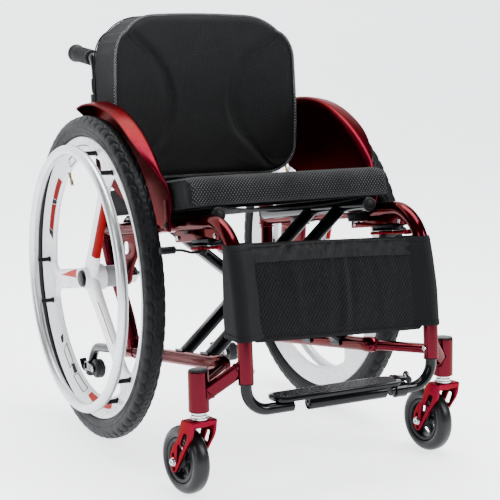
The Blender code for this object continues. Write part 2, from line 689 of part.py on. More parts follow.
def make_caster(tag, s):
    """The caster turns about its stem, a little off straight ahead, and trails behind it."""
    stem = empty_at(f"caster_stem_{tag}", (s * CASTER_X, STEM_Y, 0.0))
    hub_z = CASTER_RADIUS
    axle = Vector((0, CASTER_TRAIL, hub_z))
    leg_in = CASTER_HUB_HALF + RUNNING
    leg_out = leg_in + LEG_WALL
    y, z = CASTER_TRAIL, hub_z
    leg = [(-0.017, CROWN_Z), (0.016, CROWN_Z), (0.021, CROWN_Z - 0.012), (0.030, CROWN_Z - 0.038)]
    leg += [(y, z + 0.030), (y + 0.010, z + 0.014), (y + 0.012, z - 0.004), (y + 0.006, z - 0.017)]
    leg += [(y - 0.004, z - 0.019), (y - 0.018, z + 0.001), (y - 0.038, z + 0.030), (-0.012, CROWN_Z - 0.026)]
    crown = leg[:3] + [(-0.0145, CROWN_Z - 0.0115)]
    upper_window = [(0.0, CROWN_Z - 0.021), (0.009, CROWN_Z - 0.021)]
    upper_window += [(0.020, CROWN_Z - 0.042), (0.008, CROWN_Z - 0.044)]
    lower_window = [(y - 0.028, z + 0.031), (y - 0.014, z + 0.033), (y - 0.010, z + 0.008)]
    lower_window += [(y - 0.008, z - 0.006), (y - 0.016, z + 0.012)]
    shapes = [slab(crown, -leg_out, leg_out)]
    for side in (-1, 1):
        shapes.append(slab(leg, *sorted((side * leg_in, side * leg_out))))
    shapes.append(rod((0, 0, CROWN_Z - 0.004), (0, 0, HOUSING_HIGH - 0.014), STEM_RADIUS, 12))
    cuts = [slab(window, -0.05, 0.05) for window in (upper_window, lower_window)]
    spare_holes = []
    for step in (-1, 1):
        spot = axle + Vector((0, 0.001 * step, 0.0115 * step))
        spare_holes.append(rod(spot - OUTWARD * 0.05, spot + OUTWARD * 0.05, 0.0030, 6))
    cuts.append(gathered(spare_holes))
    cuts.append(rod(axle - OUTWARD * 0.05, axle + OUTWARD * 0.05, 0.0040 + GAP, 10))
    build(f"caster_fork_{tag}", "anodised_red", shapes, cuts, stem)

    upright = Matrix(((0, 0, 1), (0, 1, 0), (1, 0, 0))).transposed().to_4x4()
    race = STEM_RADIUS + RUNNING
    bearing = turned(
        [(0.0, race), (0.0, 0.0150), (0.0080, 0.0135), (BEARING_HEIGHT, 0.0110), (BEARING_HEIGHT, race)],
        14,
        True,
    )
    moved(bearing, Matrix.Translation((0, 0, CROWN_Z + GAP)) @ upright)
    add_object(bearing, f"caster_bearing_{tag}", "steel", stem)

    spin = empty_at(f"caster_axle_{tag}", axle, stem)
    w, r = CASTER_HALF_WIDTH, CASTER_RADIUS
    bed = r - 0.0185
    half = [(w * 0.90, bed), (w, r - 0.009), (w * 0.70, r - 0.0020)]
    profile = [(-x, radius) for x, radius in half] + [(0.0, r)] + half[::-1]
    add_object(turned(profile, CASTER_SIDES, True), f"caster_tyre_{tag}", "black_rubber", spin)
    ring = [(-0.011, bed - 0.007), (-0.011, bed - GAP), (0.011, bed - GAP), (0.011, bed - 0.007)]
    half_hub = CASTER_HUB_HALF
    barrel = [(-half_hub, 0.0105), (-0.010, 0.0130), (0.010, 0.0130), (half_hub, 0.0105)]
    shapes = [turned(ring, CASTER_SIDES, True), turned(barrel, 14)]
    for k in range(5):
        angle = 2 * math.pi * (k + 0.31) / 5
        out = Vector((0, math.cos(angle), math.sin(angle)))
        shapes.append(swept((out * 0.008, out * (bed - 0.004)), 0.0055, 6, wide=0.0085, thin_way=OUTWARD))
    bore = rod(-OUTWARD * 0.03, OUTWARD * 0.03, 0.0040 + RUNNING, 10)
    build(f"caster_hub_{tag}", "black_plastic", shapes, [bore], spin)

    bolt = [rod(-OUTWARD * (leg_out + 0.0045), OUTWARD * (leg_out + 0.0045), 0.0040, 10)]
    for side in (-1, 1):
        bolt.append(rod(OUTWARD * side * (leg_out + GAP), OUTWARD * side * (leg_out + 0.0045), 0.0068, 12))
    seat = empty_at(f"caster_bolt_axis_{tag}", axle, stem)
    build(f"caster_bolt_{tag}", "steel", bolt, (), seat)
    stem.rotation_euler = (0, 0, math.radians(CASTER_TURN[tag]))


# Side guards, brakes and push handles


def make_guard(tag, s):
    """A panel beside the seat, whose top rolls outward and follows the tyre."""
    edge = [(y, top_z(y) + rise) for y, rise in GUARD_EDGE]

    def low_radius(angle):
        """Distance from the axle to the panel's lower edge in this direction."""
        y_way, z_way = -math.cos(angle), math.sin(angle)
        for (y0, z0), (y1, z1) in zip(edge, edge[1:]):
            dy, dz = y1 - y0, z1 - z0
            across = y_way * dz - z_way * dy
            share = (z_way * y0 - y_way * (z0 - WHEEL_RADIUS)) / across if across else -1
            if 0 <= share <= 1:
                return min(math.hypot(y0 + dy * share, z0 + dz * share - WHEEL_RADIUS), high)
        return high

    high = GUARD_RADIUS - 0.018
    front, rear = GUARD_FRONT_ANGLE, GUARD_REAR_ANGLE
    t = GUARD_WALL
    panel = bmesh.new()
    rings = []
    for i in range(13):
        degrees = rear + (front - rear) * i / 12
        angle = math.radians(degrees)
        low = low_radius(angle)
        lip = 0.0480 - 0.031 * max(0.0, (56 - degrees) / 35) - 0.012 * max(0.0, (degrees - 90) / 14) ** 2
        r = GUARD_RADIUS
        outer = [(0.0, low), (0.0, r - 0.014), (0.0024, r - 0.0050), (0.0085, r)]
        outer += [(lip * 0.64, r + 0.0005), (lip * 0.90, r - 0.0060), (lip, r - 0.0165)]
        inner = [(t, low), (t, r - 0.015), (t + 0.0018, r - 0.0075), (0.0095, r - t)]
        inner += [(lip * 0.62, r - t + 0.0005), (lip * 0.90 - t * 0.9, r - 0.0085), (lip - t, r - 0.0165)]
        ring = []
        for across, radius in outer + inner[::-1]:
            y, z = -radius * math.cos(angle), WHEEL_RADIUS + radius * math.sin(angle)
            ring.append(panel.verts.new((s * (GUARD_X + across), y, z)))
        rings.append(ring)
    skin(panel, rings)
    shapes = [panel]
    for y in GUARD_BOSSES:
        z = top_z(y)
        tab = [(y - 0.010, z - 0.010), (y + 0.010, z - 0.010), (y + 0.010, z + 0.045), (y - 0.010, z + 0.045)]
        shapes.append(slab(tab, *sorted((s * GUARD_X, s * (GUARD_X + t)))))
        shapes.append(rod((s * (FRAME_X + TUBE + GAP), y, z), (s * (GUARD_X + 0.001), y, z), 0.0060, 10))
    build(f"side_guard_{tag}", "satin_red", shapes)


def make_back_post(tag, s):
    """The leaning post, bent back at its top into a push handle, and its clamp."""
    x = s * FRAME_X
    way = Vector((0, POST_LEAN, 1)).normalized()
    socket = Vector((x, REAR_POST_Y, top_z(REAR_POST_Y)))
    foot = socket + way * (0.034 - POST_SOCKET)
    knee = Vector((x, post_y(POST_TOP), POST_TOP))
    handle = Vector((0, math.cos(math.radians(7)), math.sin(math.radians(7))))
    corner = knee + way * 0.026
    end = corner + handle * 0.017
    path = [foot] + bezier(knee, knee.lerp(corner, 0.55), end.lerp(corner, 0.55), end, 4)
    end += handle * 0.004
    path.append(end)
    add_object(swept(path, POST_RADIUS, thin_way=BACKWARD), f"back_post_{tag}", "gloss_black")

    r = GRIP_RADIUS
    profile = [(0.0, r - 0.003), (0.002, r)]
    for k in range(3):
        start = 0.012 + k * (GRIP_LENGTH - 0.030) / 3
        profile += [(start, r - 0.0016), (start + 0.0050, r), (start + 0.0120, r)]
    profile += [(GRIP_LENGTH - 0.012, r - 0.0010), (GRIP_LENGTH - 0.008, r + 0.0022)]
    profile += [(GRIP_LENGTH - 0.003, r + 0.0022), (GRIP_LENGTH, r - 0.003)]
    frame = Matrix((handle, OUTWARD.cross(handle), OUTWARD)).transposed().to_4x4()
    grip = moved(turned(profile, 10), Matrix.Translation(end + handle * GAP) @ frame)
    add_object(grip, f"push_grip_{tag}", "black_rubber")

    middle = Vector((x, post_y(CLAMP_Z), CLAMP_Z))
    collar = rod(middle - way * 0.012, middle + way * 0.012, POST_RADIUS + 0.0045, 14)
    y, z = middle.y, CLAMP_Z
    ear = block((x - 0.006, y + 0.011, z - 0.009), (x + 0.006, y + 0.026, z + 0.009))
    bore = rod(middle - way * 0.03, middle + way * 0.03, POST_RADIUS + GAP)
    mouth = block((x - 0.03, y - 0.03, z - 0.03), (x + 0.03, y - 0.0085, z + 0.03))
    build(f"back_post_clamp_{tag}", "black_plastic", [collar, ear], [bore, mouth])


def make_brake(tag, s):
    """The brake's clamp on its bar, with one pivot for the hand lever and the shoe arm."""
    x = s * FRAME_X
    tilt = Matrix.Rotation(-TILT, 4, "X")
    frame = Matrix.Translation((x, BRAKE_Y, top_z(BRAKE_Y))) @ tilt
    low = -BRAKE_BAR_DROP - 0.0075
    body = block((-0.0125, -0.033, low), (0.0125, 0.033, -0.0145))
    slot_half = BRAKE_BAR_THICK / 2 + GAP
    slot = block((-slot_half, -0.05, -BRAKE_BAR_DROP - GAP), (slot_half, 0.05, 0.01))
    pin_y = (BRAKE_PIVOT_Y - BRAKE_Y) / math.cos(TILT)
    lever_top = low - GAP
    arm_top = lever_top - 0.0065 - GAP
    pin = gathered([rod((0, pin_y, low + 0.004), (0, pin_y, arm_top - 0.0070), 0.0035, 12)])
    head = rod((0, pin_y, arm_top - 0.0078), (0, pin_y, arm_top - 0.0053), 0.0060, 12)
    shapes = [moved(shape, frame) for shape in (body, pin, head)]
    build(f"brake_clamp_{tag}", "black_plastic", shapes, [moved(slot, frame)])

    lever = empty_at(f"brake_lever_axis_{tag}", frame @ Vector((0, pin_y, lever_top)))
    lever.rotation_euler = (-TILT, 0, 0)
    hole = rod((0, 0, -0.02), (0, 0, 0.01), 0.0035 + RUNNING, 12)
    bar = block((-0.0060, -BRAKE_REACH, -0.0062), (0.0060, 0.034, -0.0003))
    eye = rod((0, 0, -0.0065), (0, 0, 0), 0.0090, 12)
    knob = rod((0, -BRAKE_REACH, -0.0080), (0, -BRAKE_REACH, 0.0010), 0.0080, 12)
    build(f"brake_lever_{tag}", "anodised_red", [bar, eye, knob], [hole], lever)

    arm = empty_at(f"brake_arm_axis_{tag}", frame @ Vector((0, pin_y, arm_top)))
    arm.rotation_euler = (-TILT, 0, 0)
    reach = s * (WHEEL_X - FRAME_X)
    shoe_y = (SHOE_Y - BRAKE_PIVOT_Y) / math.cos(TILT)
    strip = swept(
        ((0, 0, -0.0026), (reach * 0.5, shoe_y * 0.25, -0.0026), (reach, shoe_y, -0.0026)),
        0.0022,
        8,
        wide=0.012,
        thin_way=UP,
    )
    arm_eye = rod((0, 0, -0.0050), (0, 0, 0), 0.0080, 12)
    hole = rod((0, 0, -0.02), (0, 0, 0.01), 0.0035 + RUNNING, 12)
    across = OUTWARD * TYRE_HALF_WIDTH
    spot = Vector((reach, shoe_y, -0.0026))
    shoe = rod(spot - across, spot + across, SHOE_RADIUS, 12)
    build(f"brake_arm_{tag}", "black_plastic", [strip, arm_eye, shoe], [hole], arm)


def make_tipper(tag, s):
    """The anti-tipper plugs into the rear lug and carries a small wheel behind the chair."""
    lug_end = FOOT_REAR - GAP - LUG_LENGTH
    start = in_plane(s * FOOT_X, lug_end + 0.024, 0)
    straight = in_plane(s * FOOT_X, lug_end - 0.020, 0)
    bend_y = TIPPER_Y + 0.014
    bend = Vector((s * TIPPER_X, bend_y, foot_z(bend_y) - 0.001))
    x = s * TIPPER_X
    low = Vector((x, TIPPER_END, TIPPER_Z - 0.021))
    path = [start, straight]
    path += bezier(straight.lerp(bend, 0.86), bend, low.lerp(bend, 0.75), low.lerp(bend, 0.42), 4)
    path.append(low)
    shapes = [swept(path, TIPPER_RADIUS)]
    lever_path = ((x, TIPPER_END - 0.004, low.z + 0.008), (x, TIPPER_END + 0.024, low.z + 0.005))
    lever_path += ((x, TIPPER_END + 0.042, low.z + 0.024),)
    shapes.append(swept(lever_path, 0.0035, 6, wide=0.016, thin_way=Vector((0, 0.3, 1))))
    root = TIPPER_END - 0.006
    y, z = TIPPER_Y, TIPPER_Z
    cheek = [(root, z + 0.008), (root, z - 0.008), (y, z - 0.0075), (y - 0.0065, z - 0.0035)]
    cheek += [(y - 0.0065, z + 0.0035), (y, z + 0.0075)]
    cheeks = [slab(cheek, x + side * 0.0125 - 0.0015, x + side * 0.0125 + 0.0015) for side in (-1, 1)]
    shapes.append(gathered(cheeks))
    shapes.append(block((x - 0.0140, root - 0.016, z - 0.008), (x + 0.0140, root, z + 0.008)))
    shapes.append(rod((x - 0.0155, y, z), (x + 0.0155, y, z), 0.0030, 10))
    build(f"anti_tipper_{tag}", "gloss_black", shapes)

    spin = empty_at(f"anti_tipper_axle_{tag}", (x, y, z))
    r = TIPPER_WHEEL
    bore = 0.0030 + RUNNING
    profile = [(-0.0100, bore), (-0.0100, r - 0.004), (-0.0065, r), (0.0065, r)]
    profile += [(0.0100, r - 0.004), (0.0100, bore)]
    add_object(turned(profile, 16, True), f"anti_tipper_wheel_{tag}", "black_rubber", spin)


# Folding parts between the sides


def make_foot_tube(tag, s):
    """The brace's lower tube, which turns on the lugs' pins."""
    ends = (in_plane(s * FOOT_X, FOOT_REAR, 0), in_plane(s * FOOT_X, FOOT_FRONT, 0))
    bores = []
    for end, way in zip(ends, (1, -1)):
        bores.append(rod(end - ALONG * way * 0.01, end + ALONG * way * 0.014, PIVOT_RADIUS + RUNNING))
    pivot = empty_at(f"foot_tube_axis_{tag}", (0, 0, 0))
    build(f"foot_tube_{tag}", "candy_red", [rod(*ends, TUBE, 16)], [gathered(bores)], pivot)


def make_brace(tag, s, stations):
    """Two slanting tubes that stand on one side's foot tube and carry the other side's rail."""
    rail_x = -s * FOOT_X
    rear, front = in_plane(rail_x, RAIL_REAR, RAIL_ABOVE), in_plane(rail_x, RAIL_FRONT, RAIL_ABOVE)
    shapes = [rod(rear, front, RAIL_RADIUS)]
    slant = (OUTWARD * -2 * s * FOOT_X + ABOVE * RAIL_ABOVE).normalized()
    across = slant.cross(ALONG)
    turn = Matrix((across, ALONG, slant)).transposed().to_4x4()
    for along in stations:
        foot = in_plane(s * FOOT_X, along, 0)
        head = in_plane(rail_x, along, RAIL_ABOVE) - slant * 0.004
        line = (foot + slant * (TUBE + 0.003), head)
        shapes.append(swept(line, BRACE_THICK / 2, 12, wide=BRACE_WIDE, thin_way=across))
        shoe = block((-0.017, -BRACE_WIDE / 2 - 0.0005, -0.002), (0.017, BRACE_WIDE / 2 + 0.0005, 0.009))
        shapes.append(moved(shoe, Matrix.Translation(foot + slant * TUBE) @ turn))
    foot_line = (in_plane(s * FOOT_X, stations[0] - 0.1, 0), in_plane(s * FOOT_X, stations[-1] + 0.1, 0))
    pivot_line = [in_plane(0, along, RAIL_ABOVE / 2) for along in (stations[0] - 0.1, stations[-1] + 0.1)]
    cuts = [rod(*foot_line, TUBE + GAP, 24), rod(*pivot_line, PIVOT_RADIUS + RUNNING, 12)]
    build(f"cross_brace_{tag}", "gloss_black", shapes, cuts)


def make_brace_bolt():
    """The bolt through all four brace tubes, with its head in front and its nut behind."""
    middle = RAIL_ABOVE / 2
    stations = BRACE_LEFT_AT + BRACE_RIGHT_AT
    front, rear = max(stations) + BRACE_WIDE / 2, min(stations) - BRACE_WIDE / 2
    pin = rod(in_plane(0, rear - 0.010, middle), in_plane(0, front + 0.008, middle), PIVOT_RADIUS, 12)
    head = rod(in_plane(0, front + GAP, middle), in_plane(0, front + 0.008, middle), 0.0095, 14)
    nut = rod(in_plane(0, rear - 0.008, middle), in_plane(0, rear - GAP, middle), 0.0095, 6)
    build("brace_bolt", "steel", [pin, head, nut])


def eased(share):
    """Even steps over the middle and close ones towards both ends."""
    return 0.5 * share + 0.25 * (1 - math.cos(math.pi * share))


def make_seat():
    """The sling over the seat rails and the cushion that lies on it."""
    base = RAIL_ABOVE + RAIL_RADIUS + GAP
    edge, inner = FOOT_X + 0.008, FOOT_X - RAIL_RADIUS
    upper, lower = [], []
    for i in range(4):
        along = RAIL_REAR + 0.004 + (RAIL_FRONT - RAIL_REAR - 0.008) * i / 3
        upper_row, lower_row = [], []
        for x in [-edge] + [inner * (j - 5) / 5 for j in range(11)] + [edge]:
            sag = SLING_SAG * max(0.0, 1 - (x / inner) ** 2) ** 0.8
            upper_row.append(in_plane(x, along, base + SLING_THICK - sag))
            lower_row.append(in_plane(x, along, base - sag))
        upper.append(upper_row)
        lower.append(lower_row)
    add_object(between(upper, lower), "seat_sling", "black_cloth")

    base += SLING_THICK + GAP
    front = (ABOVE.y * base - SEAT_FRONT) / math.cos(TILT)
    rear = (ABOVE.y * base - SEAT_REAR) / math.cos(TILT)
    upper, lower = [], []
    rows, columns = 13, 15
    for i in range(rows):
        v = eased(i / (rows - 1))
        upper_row, lower_row = [], []
        for j in range(columns):
            u = eased(j / (columns - 1))
            along, x = rear + (front - rear) * v, SEAT_HALF * (2 * u - 1)
            from_side = min(u, 1 - u) * 2 * SEAT_HALF
            from_end = min(v, 1 - v) * (front - rear)
            fall = 0.011 * max(0.0, 1 - from_side / 0.022) ** 2
            fall += 0.011 * max(0.0, 1 - from_end / 0.028) ** 2
            crown = 0.004 * math.sin(math.pi * u) * math.sin(math.pi * v)
            dip = 0.003 * math.exp(-((x / 0.10) ** 2) - ((v - 0.45) / 0.3) ** 2)
            drawn = 0.003 * max(0.0, 1 - min(from_side, from_end) / 0.012)
            upper_row.append(in_plane(x, along, base + SEAT_THICK - fall + crown - dip))
            lower_row.append(in_plane(x * 0.99, along, base + drawn))
        upper.append(upper_row)
        lower.append(lower_row)
    add_object(between(upper, lower), "seat_cushion", "black_mesh")


def sling_y(z):
    """Depth of the back sling's rear face, which lies on the fronts of the posts."""
    return post_y(z) - POST_RADIUS - 2 * GAP


def make_back():
    """The hollowed back cushion with two sewn channels, and the sling behind it."""
    columns, rows = 19, 14
    middle_z, half_z = (BACK_LOW + BACK_HIGH) / 2, (BACK_HIGH - BACK_LOW) / 2
    front, back = [], []
    for i in range(rows):
        v = 2 * eased(i / (rows - 1)) - 1
        front_row, back_row = [], []
        for j in range(columns):
            u = 2 * eased(j / (columns - 1)) - 1
            x, z = u * BACK_HALF, v * half_z
            over_x, over_z = abs(x) - BACK_HALF + BACK_CORNER, abs(z) - half_z + BACK_CORNER
            if over_x > 0 and over_z > 0:
                share = max(over_x, over_z) / math.hypot(over_x, over_z)
                x = math.copysign(BACK_HALF - BACK_CORNER + over_x * share, x)
                z = math.copysign(half_z - BACK_CORNER + over_z * share, z)
            rim = min(1 - abs(u), 1 - abs(v))
            rolled = 0.012 * max(0.0, 1 - rim / 0.10) ** 2
            crown = 0.006 * math.sin(math.pi / 2 * min(1.0, rim / 0.5))
            channel_x = 0.064 + 0.088 * min(1.0, abs(z - 0.004) / 0.135) ** 2
            channel = 0.0045 * math.exp(-(((abs(x) - channel_x) / 0.011) ** 2))
            hollow = BACK_FRONT_Y + BACK_HOLLOW * (1 - (x / BACK_HALF) ** 2)
            height = middle_z + z
            rear_y = sling_y(height) - SLING_THICK - 2 * GAP
            front_row.append((x, hollow + rolled - crown + channel, height))
            back_row.append((x, rear_y - 0.5 * rolled, height))
        front.append(front_row)
        back.append(back_row)
    add_object(between(front, back), "back_cushion", "black_mesh")

    front, back = [], []
    for i in range(3):
        z = BACK_LOW - 0.020 + (POST_TOP - 0.012 - BACK_LOW + 0.020) * i / 2
        xs = [(FRAME_X + 0.014) * (j - 3) / 3 for j in range(7)]
        front.append([(x, sling_y(z) - SLING_THICK, z) for x in xs])
        back.append([(x, sling_y(z), z) for x in xs])
    add_object(between(front, back), "back_sling", "black_cloth")


def make_strap():
    """The calf strap, a sleeve round each front tube with a panel across, and its pocket."""
    low, high = FRONT_LOW + STRAP_LOW, FRONT_LOW + STRAP_HIGH
    sleeves, bores = [], []
    for tag, s in SIDES:
        path = front_tube_between(s, low, high)
        sleeves.append(swept(path, TUBE + GAP + STRAP_CLOTH, thin_way=BACKWARD))
        path = [path[0] * 2 - path[1]] + path[1:-1] + [path[-1] * 2 - path[-2]]
        bores.append(swept(path, TUBE + GAP, thin_way=BACKWARD))
    levels = front_tube_between(1.0, low + 0.0005, high - 0.0005)
    half = FRONT_X - 0.010
    front = [[(x, p.y + STRAP_BACK, p.z) for x in (-half, half)] for p in levels]
    back = [[(x, p.y + 2 * STRAP_BACK, p.z) for x in (-half, half)] for p in levels]
    build("calf_strap", "black_cloth", [between(front, back), sleeves[0], sleeves[1]], bores)

    pocket = front_tube_between(1.0, low + 0.003, high - 0.006)
    front, back = [], []
    for p in pocket:
        share = (p.z - low) / (high - low)
        front_row, back_row = [], []
        for j in range(17):
            u = (j - 8) / 8
            side = 1 - u**4
            belly = 0.0065 * math.sin(math.pi * (0.88 - 0.78 * share)) ** 0.7
            fold = 0.0016 * abs(math.sin(9 * u + 1.3)) * math.sin(math.pi * share)
            y = p.y + STRAP_BACK - GAP
            front_row.append((u * POCKET_HALF, y - 0.0018 - side * (belly + fold), p.z))
            back_row.append((u * POCKET_HALF, y, p.z))
        front.append(front_row)
        back.append(back_row)
    add_object(between(front, back), "strap_pocket", "black_mesh")


# Footrest


def make_hanger(tag, s):
    """A J tube out of the front tube's lower end, turned inward to a short stub."""
    x = FRONT_X - HANGER_BEND
    path = [(s * FRONT_X, HANGER_Y, FRONT_LOW + HANGER_ENGAGED)]
    for k in range(7):
        turn = math.pi / 2 * k / 6
        y_z = (HANGER_Y, HANGER_Z + HANGER_BEND * (1 - math.sin(turn)))
        path.append((s * (x + HANGER_BEND * math.cos(turn)), *y_z))
    path.append((s * STUB_END, HANGER_Y, HANGER_Z))
    add_object(swept(path, HANGER_RADIUS, thin_way=BACKWARD), f"footrest_hanger_{tag}", "gloss_black")


def make_footplate():
    """The footplate hinges on the left hanger's bracket and rests on the right hanger."""
    low = HANGER_Z + HANGER_RADIUS + GAP
    half = PLATE_THICK / 2
    middle = Vector((PLATE_PIVOT_X, (PLATE_FRONT + PLATE_REAR) / 2, low + half + PIVOT_LIFT))
    cant = math.radians(HINGE_CANT)
    axis = Vector((math.sin(cant), math.cos(cant), 0))
    inward = Vector((-math.cos(cant), math.sin(cant), 0))
    pivot = empty_at("footplate_axis", middle)
    x0, x1 = PLATE_NEAR - middle.x, PLATE_FAR - middle.x
    y0, y1 = PLATE_FRONT - middle.y, PLATE_REAR - middle.y
    z0, z1 = -half - PIVOT_LIFT, half - PIVOT_LIFT
    corner = 0.012
    outline = []
    for i, (x, y) in enumerate(((x1, y1), (x0, y1), (x0, y0), (x1, y0))):
        cx, cy = x + math.copysign(corner, x0 - x if x == x1 else x1 - x), y - math.copysign(corner, y)
        for k in range(4):
            turn = math.radians(90 * i + 30 * k)
            outline.append((cx + corner * math.cos(turn), cy + corner * math.sin(turn)))
    plate = bmesh.new()
    skin(plate, [[plate.verts.new((x, y, z)) for x, y in outline] for z in (z0, z1)])
    tongue_turn = Matrix((inward, axis, UP)).transposed().to_4x4()
    tongue = moved(block((0, -0.012, -0.0045), (0.030, 0.012, z1 - 0.0003)), tongue_turn)
    bar_y, bar_z = HANGER_Y - middle.y, HANGER_Z - middle.z
    bar_x = [x - middle.x for x in BAR_ENDS]
    shapes = [
        plate,
        tongue,
        rod(axis * -0.0165, axis * 0.0165, 0.0045),
        rod((bar_x[0], bar_y, bar_z), (bar_x[1], bar_y, bar_z), BAR_RADIUS, 12),
        block((bar_x[0], bar_y - 0.008, bar_z), (bar_x[1], bar_y + 0.008, z0 + 0.001)),
    ]
    grooves = []
    for k in range(4):
        y = y0 + 0.0115 + k * (y1 - y0 - 0.023) / 3
        grooves.append(block((x0 + 0.016, y - 0.0011, z1 - 0.0010), (x1 - 0.014, y + 0.0011, z1 + 0.01)))
    clamp_radius = HANGER_RADIUS + 0.0038
    clamp_x = (PLATE_FAR - 0.016, PLATE_FAR + 0.006)
    notch = rod(
        (clamp_x[0] - 0.001 - middle.x, bar_y, bar_z),
        (clamp_x[1] + 0.03 - middle.x, bar_y, bar_z),
        clamp_radius + 0.0010,
        14,
    )
    cuts = [gathered(grooves), notch, rod(axis * -0.05, axis * 0.05, 0.0024 + GAP)]
    build("footplate", "gloss_black", shapes, cuts, pivot)

    ear_at = 0.0165 + GAP + 0.0025
    eyes = [middle + axis * ear_at * side for side in (-1, 1)]
    stub = Vector((clamp_x[1], HANGER_Y, HANGER_Z))
    shapes = [rod((clamp_x[0], HANGER_Y, HANGER_Z), stub, clamp_radius, 14)]
    for eye in eyes:
        shapes.append(rod(eye - axis * 0.0025, eye + axis * 0.0025, 0.0056, 10))
    front_root, rear_root = stub + Vector((-0.005, -0.0070, 0.0050)), stub + Vector((-0.005, 0.0090, 0.0030))
    shapes.append(
        swept(
            (front_root, eyes[0] + Vector((-0.0015, -0.0005, -0.0085)), eyes[0] - UP * 0.002),
            0.0026,
            8,
            thin_way=BACKWARD,
        )
    )
    shapes.append(
        swept(
            (rear_root, rear_root + Vector((0.014, 0.014, 0)), eyes[1] + axis * 0.001 - UP * 0.0045),
            0.0024,
            8,
        )
    )
    shapes.append(rod(middle - axis * (ear_at + 0.004), middle + axis * (ear_at + 0.004), 0.0024))
    reach = (clamp_x[0] - 0.02, FRONT_X - HANGER_BEND)
    bore = rod(*[(x, HANGER_Y, HANGER_Z) for x in reach], HANGER_RADIUS + GAP, 20)
    build("footplate_bracket", "gloss_black", shapes, [bore])


for tag, s in SIDES:
    make_side_frame(tag, s)
    make_axle_mount(tag, s)
    hub = empty_at(f"rear_axle_{tag}", (s * WHEEL_X, 0, WHEEL_RADIUS))
    make_tyre(tag, s, hub)
    make_rim(tag, s, hub)
    make_pushrim(tag, s, hub)
    make_caster(tag, s)
    make_guard(tag, s)
    make_back_post(tag, s)
    make_brake(tag, s)
    make_tipper(tag, s)
    make_foot_tube(tag, s)
    make_hanger(tag, s)

make_brace("left", -1.0, BRACE_LEFT_AT)
make_brace("right", 1.0, BRACE_RIGHT_AT)
make_brace_bolt()
make_seat()
make_back()
make_strap()
make_footplate()

# The origin goes to the middle of the chair's own box, on the ground.
bpy.context.view_layer.update()
graph = bpy.context.evaluated_depsgraph_get()
corners = []
for thing in bpy.context.scene.objects:
    if thing.type == "MESH" and not thing.hide_render:
        seen = thing.evaluated_get(graph)
        corners += [seen.matrix_world @ vert.co for vert in seen.data.vertices]
low = [min(point[k] for point in corners) for k in range(3)]
high = [max(point[k] for point in corners) for k in range(3)]
chair.location = (-(low[0] + high[0]) / 2, -(low[1] + high[1]) / 2, -low[2])
bpy.context.view_layer.update()
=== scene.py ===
import math

import bmesh
import bpy
import numpy as np
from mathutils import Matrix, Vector


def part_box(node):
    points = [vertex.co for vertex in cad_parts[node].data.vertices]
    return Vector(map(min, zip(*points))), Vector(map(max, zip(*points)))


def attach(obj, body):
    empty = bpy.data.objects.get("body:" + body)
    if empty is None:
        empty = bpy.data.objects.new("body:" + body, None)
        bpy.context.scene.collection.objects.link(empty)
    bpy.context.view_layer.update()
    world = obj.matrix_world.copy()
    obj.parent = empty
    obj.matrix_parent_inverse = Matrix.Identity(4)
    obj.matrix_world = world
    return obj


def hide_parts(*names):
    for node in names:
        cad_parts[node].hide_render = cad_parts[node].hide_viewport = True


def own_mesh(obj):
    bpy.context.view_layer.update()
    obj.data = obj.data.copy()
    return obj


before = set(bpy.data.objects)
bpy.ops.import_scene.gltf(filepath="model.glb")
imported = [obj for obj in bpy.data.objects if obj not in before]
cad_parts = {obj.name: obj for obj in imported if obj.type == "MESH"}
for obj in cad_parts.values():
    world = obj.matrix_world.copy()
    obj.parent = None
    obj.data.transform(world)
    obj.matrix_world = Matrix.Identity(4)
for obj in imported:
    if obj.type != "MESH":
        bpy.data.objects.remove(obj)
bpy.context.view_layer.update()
print("frame loaded")

# Depths below are from the rear axle and heights from the ground, in metres.
axleY = sum(corner.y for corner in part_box("rear_tyre_right")) / 2
sides = (("right", -1.0), ("left", 1.0))
acrossWay, backWay, upWay = np.eye(3)

chair = {
    "frameX": 0.18, "frontX": 0.179, "footX": 0.15, "footZ": 0.149, "slope": 0.13,
    "topRise": 0.2435, "railRise": 0.2545, "tube": 0.0125, "postY": 0.098, "postLean": 0.0745,
}
tilt = math.atan(chair["slope"])
alongWay = np.array((0, -math.cos(tilt), math.sin(tilt)))
aboveWay = np.array((0, math.sin(tilt), math.cos(tilt)))
railAbove = chair["railRise"] * math.cos(tilt)


# A point across the chair, then along and square to the line of the lower brace tube
def inPlane(x, along, above):
    return np.array((x, 0, chair["footZ"])) + alongWay * along + aboveWay * above


def topZ(y):
    return chair["footZ"] + chair["topRise"] - chair["slope"] * y


def footZ(y):
    return chair["footZ"] - chair["slope"] * y


def postY(z):
    return chair["postY"] + (z - chair["footZ"] - chair["topRise"]) * chair["postLean"]


# A bell curve, one where the value is nought
def bump(value, width):
    return np.exp(-((value / width) ** 2))


def unit(vectors):
    vectors = np.asarray(vectors, float)
    return vectors / np.linalg.norm(vectors, axis=-1, keepdims=True)


postWay = unit((0, chair["postLean"], 1))


# A shell is (points, four-sided faces, three-sided faces), closed and facing out. The sum is six times the
# volume that the faces enclose, and it is negative where they face inwards.
def facingOut(points, quads, tris):
    corners = np.concatenate([quads[:, [0, 1, 2]], quads[:, [0, 2, 3]], tris])
    a, b, c = (points[corners[:, k]] - points.mean(0) for k in range(3))
    if np.einsum("ij,ij->i", a, np.cross(b, c)).sum() < 0:
        return points, quads[:, ::-1], tris[:, ::-1]
    return points, quads, tris


